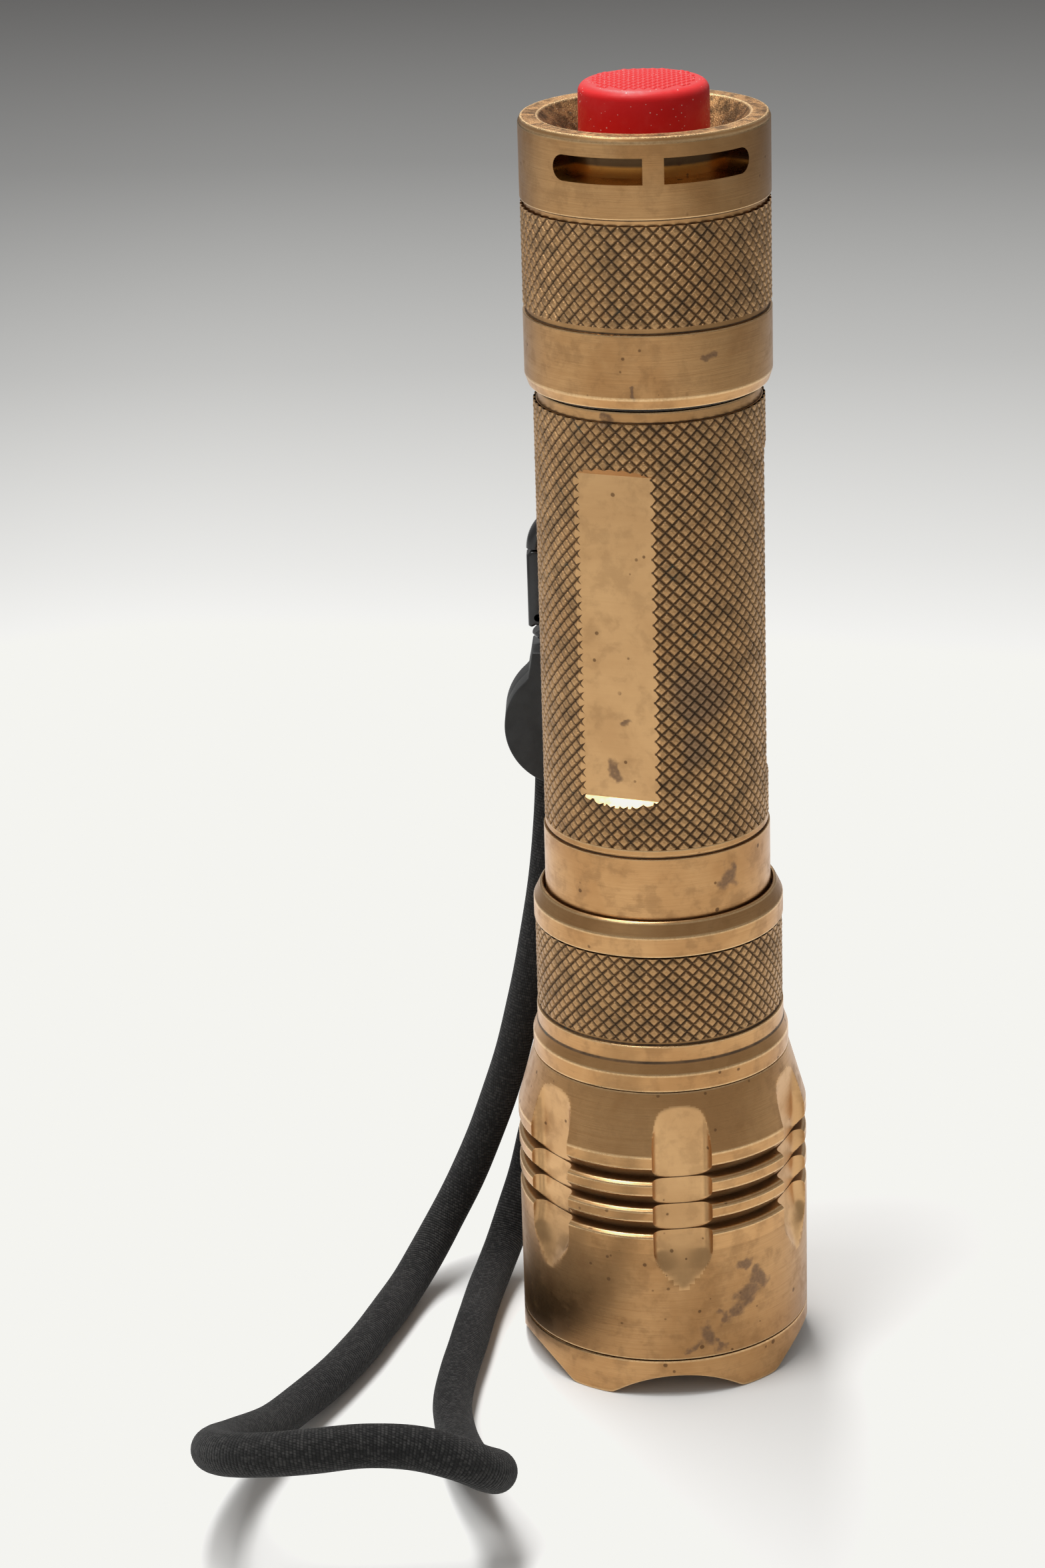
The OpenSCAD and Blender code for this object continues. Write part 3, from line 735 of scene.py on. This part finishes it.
def joiner_outline():
    """A disc that flows into its broad neck through two hollow fillets."""
    neck = [(-5.05, 75.9), (-4.95, 76.5), (-4.8, 77.2), (-4.5, 78.95),
            (4.5, 78.95), (4.8, 77.2), (4.95, 76.5), (5.05, 76.0)]
    return (arc(JOINER_X, JOINER_Z, JOINER_R, 55, 131 - 360, 84)
            + [(HOOK_X + x, z) for x, z in neck])


def make_joiner():
    low_y, high_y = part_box("joiner_front")[0].y / MM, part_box("joiner_back")[1].y / MM
    middle = (low_y + high_y) / 2
    front = rounded("joiner_front_shell", joiner_outline(), low_y, middle - 0.04, 0.35, 4)
    finish_piece(front, "tailcap", "joiner_front", "moulded_matte")
    back = rounded("joiner_back_shell", joiner_outline(), middle + 0.04, high_y, 0.35, 4)
    recess = rounded("screw_recess", arc(JOINER_X, JOINER_Z + 3, 1.45, 0, 350, 35),
                     high_y - 1.2, high_y + 1, 0.05, 1)
    carve(back, [recess])
    shade(back, 35)
    finish_piece(back, "tailcap", "joiner_back", "moulded_matte")


def hook_line():
    """The middle line of the hook's bar, closed: a round top and small lower corners."""
    half, corner, top_z, low_z = 3.95, 1.6, 90.5, 81.9
    return (arc(HOOK_X, top_z, half, 0, 180, 40)
            + arc(HOOK_X - half + corner, low_z, corner, 180, 270, 20)
            + arc(HOOK_X + half - corner, low_z, corner, 270, 360, 20))


def even_spaced(points, gap):
    """Points at even distances along a closed outline."""
    loop = [Vector(p) for p in points + points[:1]]
    found, left = [], 0.0
    for a, b in zip(loop, loop[1:]):
        length = (b - a).length
        while left < length:
            found.append(a + (b - a) * (left / length))
            left += gap
        left -= length
    return found


def make_hook():
    """The snap hook's frame, a rounded bar, and the gate that closes its left side."""
    low, high = (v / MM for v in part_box("lanyard_hook"))
    cy = (low.y + high.y) / 2

    def at_gate(p):
        return p.x < GATE_EDGE and GATE_LOW < p.y < GATE_HIGH

    line = even_spaced(hook_line(), 0.3)
    first = next(i for i, p in enumerate(line) if at_gate(line[i - 1]) and not at_gate(p))
    path = [Vector((p.x, cy, p.y)) for p in line[first:] + line[:first] if not at_gate(p)]
    bar = [(0.97 * math.copysign(abs(math.cos(a)) ** 0.75, math.cos(a)),
            1.28 * math.copysign(abs(math.sin(a)) ** 0.6, math.sin(a)))
           for a in (math.tau * k / 28 for k in range(28))]
    frame_bar = swept("lanyard_hook_frame", path, bar)
    finish_piece(frame_bar, "tailcap", "lanyard_hook", "moulded_gloss")
    low, high = (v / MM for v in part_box("hook_gate"))
    left, right = low.x + 0.02, high.x
    knuckle_x, knuckle_z, knuckle_r = -13.1, 82.5, 0.95
    outline = ([(left, 81.6), (left + 0.25, 81.25)]
               + arc(knuckle_x, knuckle_z, knuckle_r, 255, 360, 10)
               + [(right, 83.3), (right, 90.1), (right - 0.4, 90.45), (left + 0.5, 90.45),
                  (left, 89.9)])
    gate = rounded("hook_gate_bar", outline, low.y, high.y, 0.35, 5)
    finish_piece(gate, "gate", "hook_gate", "moulded_gloss")


# ---- materials ----

class Shader:
    """A small helper that builds one node material on object coordinates in millimetres."""

    def __init__(self, name, **constants):
        self.material = bpy.data.materials.new(name)
        self.material.use_nodes = True
        self.nodes = self.material.node_tree.nodes
        self.links = self.material.node_tree.links
        self.surface = self.nodes["Principled BSDF"]
        self.set(**constants)
        place = self.nodes.new("ShaderNodeTexCoord").outputs["Object"]
        self.place = self.scaled(place, 1000)

    def put(self, socket, value):
        """Links or sets a socket. A colour is given by its three parts."""
        if isinstance(value, bpy.types.NodeSocket):
            self.links.new(value, socket)
        else:
            socket.default_value = (*value, 1) if socket.type == "RGBA" else value

    def set(self, **values):
        """Sets the surface's inputs by their names and returns the material."""
        for key, value in values.items():
            self.put(self.surface.inputs[key.replace("_", " ")], value)
        return self.material

    def add(self, kind, inputs, **settings):
        """Adds a node with its settings, then its inputs by name or number."""
        node = self.nodes.new("ShaderNode" + kind)
        for key, value in settings.items():
            setattr(node, key, value)
        for key, value in inputs.items():
            self.put(node.inputs[key], value)
        return node

    def vector(self, operation, a, b):
        node = self.add("VectorMath", {0: a, 1: b}, operation=operation)
        return node.outputs["Value" if operation == "DISTANCE" else "Vector"]

    def scaled(self, a, scale):
        return self.add("VectorMath", {0: a, "Scale": scale}, operation="SCALE").outputs["Vector"]

    def math(self, operation, a, b=0.0, clamp=False):
        return self.add("Math", {0: a, 1: b}, operation=operation, use_clamp=clamp).outputs[0]

    def times(self, a, b):
        return self.math("MULTIPLY", a, b)

    def plus(self, a, b):
        return self.math("ADD", a, b)

    def minus(self, a, b, clamp=False):
        return self.math("SUBTRACT", a, b, clamp)

    def higher(self, a, b):
        return self.math("MAXIMUM", a, b)

    def axis(self, letter):
        return self.add("SeparateXYZ", {0: self.place}).outputs[letter]

    def stretched(self, x, y, z):
        return self.vector("MULTIPLY", self.place, (x, y, z))

    def noise(self, scale, detail=3.0, rough=0.55, at=None, distortion=0.0):
        node = self.add("TexNoise", {"Vector": at or self.place, "Scale": scale, "Detail": detail,
                                     "Roughness": rough, "Distortion": distortion})
        return node.outputs[0]

    def pushed(self, scale, detail, reach):
        """The place, pushed about by noise by up to half of reach in each direction."""
        node = self.add("TexNoise", {"Vector": self.place, "Scale": scale, "Detail": detail})
        push = self.vector("SUBTRACT", node.outputs["Color"], (0.5, 0.5, 0.5))
        return self.vector("ADD", self.place, self.scaled(push, reach))

    def cells(self, scale, feature="F1", at=None):
        """The distance to the nearest cell's middle or edge."""
        node = self.add("TexVoronoi", {"Vector": at or self.place, "Scale": scale},
                        feature=feature)
        return node.outputs["Distance"]

    def mark(self, name):
        return self.add("Attribute", {}, attribute_name=name).outputs["Fac"]

    def step(self, value, low, high, out_low=0.0, out_high=1.0, kind="SMOOTHSTEP"):
        """Maps low..high onto out_low..out_high."""
        ends = {0: value, 1: low, 2: high, 3: out_low, 4: out_high}
        return self.add("MapRange", ends, interpolation_type=kind).outputs[0]

    def near(self, at, reach, place):
        """1 inside a blotch round a point."""
        return self.step(self.vector("DISTANCE", place, at), reach * 1.1, reach * 0.45)

    def mix(self, factor, a, b):
        return self.add("Mix", {0: factor, 6: a, 7: b}, data_type="RGBA").outputs[2]

    def bump(self, *layers):
        """Stacks bumps, each (height, strength, distance in millimetres)."""
        normal = None
        for height, strength, distance in layers:
            node = self.add("Bump", {"Height": height, "Strength": strength,
                                     "Distance": distance * MM})
            if normal:
                self.links.new(normal, node.inputs["Normal"])
            normal = node.outputs["Normal"]
        self.set(Normal=normal)


BRASS = (0.585, 0.338, 0.148)
BRASS_WARM = (0.46, 0.245, 0.098)
BRASS_BRIGHT = (0.74, 0.51, 0.27)
AMBER = (0.56, 0.25, 0.05)
PATINA_AND_SHADE = (0.150, 0.082, 0.037)
SPOT = (0.11, 0.055, 0.028)
SMEAR = (0.165, 0.095, 0.056)
DIRT_AND_SHADE = (0.045, 0.026, 0.013)
DUST = (0.62, 0.58, 0.50)
VERDIGRIS = (0.045, 0.085, 0.078)

# Smears that this light carries: (radius, turn, height, reach) in millimetres and degrees
SMEARS = [(HEAD_R, 39, 13.3, 1.5), (HEAD_R, 34, 11.8, 1.7), (HEAD_R, 29, 10.6, 1.4),
          (HEAD_R, 24, 9.6, 1.0), (HEAD_R, 16, 7.4, 1.6), (HEAD_R, 22, 6.8, 1.0),
          (HEAD_R, 33, 15.5, 1.3), (HEAD_R, 12, 6.0, 0.8), (12.6, 38, 60.5, 1.5),
          (TAIL_R, 30, 119.8, 0.9), (TAIL_R, -5, 116.4, 0.6), (TUBE_R, 24, 82, 4.5),
          (TUBE_R, 20, 76, 2.5), (12.0, -24, 113.4, 0.9), (FLAT_DEPTH, -22, 73.5, 1.2),
          (FLAT_DEPTH, -15, 79, 0.8)]


def brass(name, kind):
    """Aged brass in one of the finishes: warm and cool areas, fine turning lines, brown spots
    and smears, dirt and painted shade in the cavities, rubbed edges with painted highlights
    and a painted dark reflection low on the head's left side."""
    base_rough, base_patina, lines, mottle = FINISHES[kind]
    s = Shader(name)
    broad = s.noise(0.09, 4.0, 0.6, distortion=0.4)
    blotch = s.noise(0.42, 6.0, 0.65, distortion=0.2)
    fine = s.noise(3.1, 4.0, 0.6)
    rings = s.noise(1.0, 4.0, 0.7, at=s.stretched(0.08, 0.08, 4.5))
    hair = s.noise(1.0, 3.0, 0.7, at=s.stretched(0.35, 0.35, 14.0))
    cavity, edge = s.mark("cavity"), s.mark("edge")

    colour = s.mix(s.step(broad, 0.35, 0.68), BRASS, BRASS_WARM)
    colour = s.mix(s.times(s.step(rings, 0.4, 0.7), 0.5 * lines), colour, BRASS_WARM)
    colour = s.mix(s.times(s.step(hair, 0.5, 0.8), 0.3 * lines), colour, PATINA_AND_SHADE)
    colour = s.mix(base_patina, colour, PATINA_AND_SHADE)
    if kind == "milled":
        colour = s.mix(0.22, colour, BRASS_BRIGHT)
    cloud = s.step(blotch, 0.46, 0.64)
    colour = s.mix(s.times(cloud, mottle), colour, PATINA_AND_SHADE)
    if kind == "pocket":
        # Painted shade in the slots: the part above the amber lower strip, under the bridge, is
        # darkened towards the dirt colour.
        low = s.step(s.axis("Z"), SLOT_LOW + 1.35, SLOT_LOW + 1.0)
        colour = s.mix(low, s.mix(0.75, colour, DIRT_AND_SHADE), AMBER)
    if kind == "sandy":
        colour = s.mix(s.step(s.noise(1.1, 5.0, 0.7), 0.44, 0.60, 0.0, 0.62), colour, DIRT_AND_SHADE)
        colour = s.mix(s.step(s.noise(3.2, 5.0, 0.8), 0.60, 0.70, 0.0, 0.7), colour, DUST)

    size = s.times(s.noise(0.37, 2.0), 0.42)
    spot = s.step(s.minus(s.cells(0.5), s.minus(size, 0.15)), 0.05, 0.0)
    spot = s.times(spot, s.step(broad, 0.42, 0.52))
    colour = s.mix(s.times(spot, 0.7), colour, SPOT)

    # A painted dark reflection of the cord and its shadow, low on the head's left side, in the patina
    # colour
    painted_dark_reflection = s.step(s.vector("DISTANCE", s.place, on_turn(HEAD_R, -48, 11)), 12, 4, 0.0, 0.5)
    colour = s.mix(painted_dark_reflection, colour, PATINA_AND_SHADE)
    warp = s.pushed(0.45, 4.0, 5.0)
    smear = 0.0
    for r, turn, z, reach in SMEARS:
        smear = s.higher(s.near(on_turn(r, turn, z), reach, warp), smear)
    smear = s.times(smear, s.step(fine, 0.2, 0.7, 0.6, 0.85))
    colour = s.mix(smear, colour, SMEAR)

    # Dirt and painted shade in the cavities: the cavity mark darkens towards the dirt colour.
    dirt_and_shade = s.times(cavity, s.step(blotch, 0.2, 0.75, 0.68, 0.98))
    colour = s.mix(dirt_and_shade, colour, DIRT_AND_SHADE)
    green = s.times(s.step(s.noise(0.30, 5.0, 0.7, distortion=0.5), 0.60, 0.72),
                    s.plus(s.times(cavity, 0.7), 0.03))
    colour = s.mix(green, colour, VERDIGRIS)
    # Rubbed edges and painted highlights: the edge mark lightens towards bright brass.
    wear_and_highlight = s.times(edge, s.step(fine, 0.2, 0.7, 0.3, 0.8))
    colour = s.mix(wear_and_highlight, colour, BRASS_BRIGHT)

    rough = s.plus(base_rough, s.times(s.minus(rings, 0.5), 0.16))
    rough = s.plus(rough, s.times(cloud, 0.10))
    rough = s.plus(rough, s.times(s.higher(smear, spot), 0.12))
    rough = s.plus(rough, s.times(dirt_and_shade, 0.3))
    rough = s.minus(rough, s.times(wear_and_highlight, 0.08), clamp=True)
    dull = s.higher(s.times(dirt_and_shade, 0.6), s.times(smear, 0.25))
    metallic = s.minus(1.0, s.higher(dull, s.times(green, 0.9)))

    layers = [(fine, 0.12, 0.02)]
    if lines:
        layers += [(rings, 0.4 * lines, 0.03), (hair, 0.4 * lines, 0.012)]
    if kind == "milled":
        layers += [(s.noise(1.0, 5.0, 0.7, at=s.stretched(2.2, 2.2, 0.8)), 0.25, 0.03)]
    if kind in ("sandy", "knurled"):
        layers += [(s.noise(5.5, 3.0, 0.6), 0.9 if kind == "sandy" else 0.5, 0.12)]
    s.bump(*layers)
    return s.set(Base_Color=colour, Roughness=rough, Metallic=metallic)


def silicone():
    """Red silicone with a top painted paler as painted light, a thin film and specks of dust."""
    s = Shader("silicone", Subsurface_Weight=0.06, Subsurface_Scale=0.002,
               Subsurface_Radius=(1.0, 0.2, 0.1), Specular_IOR_Level=0.28)
    speck = s.step(s.minus(s.cells(1.7), s.times(s.noise(0.9, 2.0), 0.26)), 0.0, -0.06)
    # Painted light: the top is paler than the sides.
    painted_lit_top = s.step(s.axis("Z"), BUTTON_TOP - 1.3, BUTTON_TOP - 0.3)
    colour = s.mix(painted_lit_top, (0.56, 0.003, 0.004), (0.70, 0.034, 0.036))
    film = s.step(s.noise(0.5, 5.0, 0.6), 0.45, 0.75, 0.0, 0.06)
    colour = s.mix(film, colour, (0.70, 0.17, 0.15))
    colour = s.mix(s.times(speck, 0.7), colour, (0.80, 0.62, 0.56))
    s.bump((s.noise(6.0, 4.0), 0.18, 0.03))
    return s.set(Base_Color=colour, Roughness=s.step(s.noise(2.2, 4.0), 0.3, 0.7, 0.36, 0.50))


def cord_knit():
    """Fine ribs that run round the cord, each made of small stitches, with painted shade in the
    valleys between the ribs and some stitches paler on their crests, as pale fibres and painted
    highlights.
    """
    rib_gap, stitches = 0.36, 76.0
    s = Shader("cord_knit", Sheen_Weight=0.05, Sheen_Roughness=0.5, Specular_IOR_Level=0.25)
    along, around = s.mark("along"), s.mark("around")
    wobble = s.times(s.minus(s.noise(1.2, 3.0), 0.5), 0.12)
    phase = s.times(s.plus(along, wobble), math.pi / rib_gap)
    rib = s.math("POWER", s.math("ABSOLUTE", s.math("SINE", phase)), 0.7)
    wave = s.math("SINE", s.plus(s.times(around, stitches), s.times(phase, 0.5)))
    height = s.times(rib, s.plus(s.times(s.math("ABSOLUTE", wave), 0.45), 0.55))
    grey = s.step(s.noise(0.12, 4.0, 0.6), 0.4, 0.7)
    colour = s.mix(grey, (0.009, 0.0088, 0.0085), (0.016, 0.0155, 0.015))
    # Painted shade in the valleys between the ribs.
    colour = s.mix(s.step(height, 0.15, 0.9, 0.9, 0.0), colour, (0.002, 0.002, 0.002))
    row = s.math("FLOOR", s.math("DIVIDE", phase, math.pi))
    column = s.math("FLOOR", s.times(around, stitches / math.pi))
    stitch = s.add("CombineXYZ", {0: row, 1: column}).outputs[0]
    pale = s.add("TexWhiteNoise", {"Vector": stitch}, noise_dimensions="2D").outputs["Value"]
    # Pale fibres and painted highlights on the crests of some stitches.
    pale_fibre_and_highlight = s.times(s.step(pale, 0.3, 1.0), 0.26)
    colour = s.mix(s.times(pale_fibre_and_highlight, height), colour, (0.12, 0.115, 0.11))
    s.bump((height, 1.0, 0.14), (s.noise(4.0, 5.0, 0.7), 0.3, 0.04))
    return s.set(Base_Color=colour, Roughness=0.86)


def moulded(name, colour, low, high, grain, dust=0.0):
    """Moulded plastic or rubber: slightly uneven gloss, fine grain and a little dust."""
    s = Shader(name)
    rough = s.step(s.noise(0.6, 5.0, 0.6), 0.3, 0.7, low, high)
    light = tuple(c * 1.4 + 0.002 for c in colour)
    tint = s.mix(s.step(s.noise(0.25, 4.0), 0.4, 0.7), colour, light)
    speck = s.times(s.step(s.noise(3.5, 5.0, 0.8), 0.64, 0.76), dust)
    s.bump((s.noise(7.0, 3.0), grain, 0.04))
    return s.set(Base_Color=s.mix(speck, tint, (0.35, 0.34, 0.32)), Roughness=rough)


def metal(name, colour, rough):
    """Plated metal with fine scratches."""
    s = Shader(name, Metallic=1.0)
    scratch = s.noise(1.0, 4.0, 0.7, at=s.stretched(0.6, 4.0, 12.0))
    tint = s.mix(s.step(scratch, 0.4, 0.7, 0.0, 0.3), colour, tuple(c * 0.7 for c in colour))
    s.bump((scratch, 0.15, 0.01))
    return s.set(Base_Color=tint, Roughness=s.step(scratch, 0.3, 0.7, rough * 0.8, rough * 1.3))


def circuit(name, mask, copper):
    """A circuit board: solder mask over paler tracks."""
    s = Shader(name)
    cell = s.cells(0.7, "DISTANCE_TO_EDGE", s.stretched(1, 1, 0))
    colour = s.mix(s.step(cell, 0.06, 0.03, 0.0, 0.5), mask, copper)
    colour = s.mix(s.step(s.noise(0.8, 3.0), 0.55, 0.7, 0.0, 0.2), colour, copper)
    s.bump((cell, 0.2, 0.03))
    return s.set(Base_Color=colour, Roughness=s.step(s.noise(1.5), 0.3, 0.7, 0.28, 0.42))


def glass():
    s = Shader("lens_glass", Transmission_Weight=1.0, IOR=1.5)
    smear = s.noise(0.3, 5.0, 0.6)
    return s.set(Base_Color=s.mix(smear, (0.98, 1.0, 0.99), (0.93, 0.97, 1.0)),
                 Roughness=s.step(smear, 0.4, 0.8, 0.01, 0.05))


def make_materials():
    black = (0.012, 0.012, 0.013)
    made = [brass("brass_" + finish, finish) for finish in FINISHES] + [
        silicone(), cord_knit(), glass(),
        moulded("moulded_matte", (0.013, 0.0135, 0.0135), 0.5, 0.66, 0.35, 0.05),
        moulded("moulded_gloss", black, 0.16, 0.26, 0.08, 0.04),
        moulded("o_ring", black, 0.30, 0.45, 0.1),
        moulded("white_plastic", (0.62, 0.62, 0.58), 0.3, 0.45, 0.1),
        moulded("cell_wrap", (0.03, 0.09, 0.24), 0.2, 0.32, 0.08),
        moulded("wire_red", (0.45, 0.02, 0.015), 0.35, 0.5, 0.1),
        moulded("phosphor", (0.75, 0.52, 0.06), 0.2, 0.3, 0.05),
        metal("plated", (0.55, 0.54, 0.52), 0.28),
        metal("mirror", (0.90, 0.90, 0.90), 0.06),
        metal("gold", (0.80, 0.56, 0.22), 0.22),
        circuit("board_green", (0.012, 0.085, 0.035), (0.06, 0.20, 0.08)),
        circuit("board_white", (0.72, 0.72, 0.70), (0.55, 0.50, 0.40))]
    # Blender adds a number to a name that the CAD frame's materials already use
    return {material.name.partition(".")[0]: material for material in made}


# What each carried-over CAD node is made of
NODE_MATERIALS = {
    "lens_glass": ["lens"],
    "mirror": ["reflector"],
    "o_ring": ["lens_gasket", "neck_o_ring", "head_o_ring", "tail_o_ring"],
    "white_plastic": ["centering_ring", "charge_light", "switch_plunger"],
    "board_white": ["emitter_board"],
    "phosphor": ["led_package", "led_dome"],
    "brass_turned": ["heat_sink_pill", "driver_ring", "switch_retaining_ring"],
    "moulded_gloss": ["led_wire_left", "string_crimp", "hook_gate_pin", "swivel_pin"],
    "wire_red": ["led_wire_right"],
    "board_green": ["driver_board", "switch_board"],
    "gold": ["driver_spring", "tail_spring"],
    "moulded_matte": ["inductor", "driver_chip", "switch_sleeve", "switch_housing"],
    "plated": ["usb_socket", "battery_positive", "switch_return_spring", "joiner_screw"],
    "cell_wrap": ["battery_cell"],
    "silicone": ["boot_flange", "boot_web"],
}


def dress_nodes():
    for name, nodes in NODE_MATERIALS.items():
        for node in nodes:
            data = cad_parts[node].data
            data.materials.clear()
            data.materials.append(MATERIALS[name])
            shade(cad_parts[node], 35)


# ---- stage ----

def make_stage():
    """A wide pale table whose colour is painted darker far behind the light and a little at its sides,
    as painted shade.
    """
    bpy.ops.mesh.primitive_plane_add(size=24)
    floor = bpy.context.object
    floor.name = "table_top"
    s = Shader("table_top", Roughness=0.75)
    place = s.add("NewGeometry", {}).outputs["Position"]
    metres = s.add("SeparateXYZ", {0: place}).outputs
    # Painted shade: the table's colour darkens with distance behind the light.
    ramp = s.add("ValToRGB", {0: s.step(metres["Y"], 0.12, 1.0, kind="LINEAR")})
    stops = ramp.color_ramp.elements
    stops[0].position, stops[0].color = 0.0, (0.82, 0.82, 0.805, 1)
    stops[1].position, stops[1].color = 1.0, (0.079, 0.077, 0.074, 1)
    for position, level in ((0.10, 0.70), (0.20, 0.56), (0.36, 0.385), (0.60, 0.215)):
        stops.new(position).color = (level, level, level * 0.98, 1)
    # Painted shade: the table darkens towards grey at its sides, and the brass reflects that.
    painted_side_shade = s.higher(s.step(metres["X"], -0.08, -0.2, 0.0, 0.2),
                     s.step(metres["X"], 0.2, 0.5, 0.0, 0.75))
    s.bump((s.noise(0.5, 3.0), 0.02, 0.05))
    colour = s.mix(painted_side_shade, ramp.outputs["Color"], (0.12, 0.12, 0.12))
    floor.data.materials.append(s.set(Base_Color=colour))


def make_lights():
    """A long softbox overhead, a little behind the light, a small one to the front left, and
    a dim room."""
    for name, place, size, energy in (("overhead", (-0.11, 0.29, 0.85), (0.18, 0.95), 7.5),
                                      ("front_left", (-0.34, -0.24, 0.85), (0.36, 0.36), 3.6)):
        data = bpy.data.lights.new(name, "AREA")
        data.shape = "RECTANGLE"
        data.size, data.size_y = size
        data.energy = energy
        lamp = bpy.data.objects.new(name, data)
        lamp.location = place
        bpy.context.scene.collection.objects.link(lamp)
    world = bpy.data.worlds.new("studio")
    bpy.context.scene.world = world
    world.use_nodes = True
    background = world.node_tree.nodes["Background"]
    background.inputs["Color"].default_value = (0.375, 0.37, 0.365, 1)


def make_exposure():
    """A plain view of the scene's colours, whose white floor stops just short of full white."""
    view = bpy.context.scene.view_settings
    view.view_transform = "Standard"
    view.use_curve_mapping = True
    view.curve_mapping.extend = "HORIZONTAL"
    for curve, white in zip(view.curve_mapping.curves, (0.905, 0.905, 0.868)):
        curve.points[1].location = (white, white)
        for point in curve.points:
            point.handle_type = "VECTOR"
    view.curve_mapping.update()


make_camera()
MATERIALS = make_materials()
make_cord("lanyard_cord_knit", "lanyard_cord", CORD_ROUTE, 0.7, CORD_D, 32, cord_girth)
make_cord("lanyard_string_braid", "lanyard_string", STRING_ROUTE, 0.4, STRING_D, 16)
make_bezel()
make_head()
make_collar()
make_tube()
make_tailcap()
make_button()
make_joiner()
make_hook()
dress_nodes()
make_stage()
make_lights()
make_exposure()
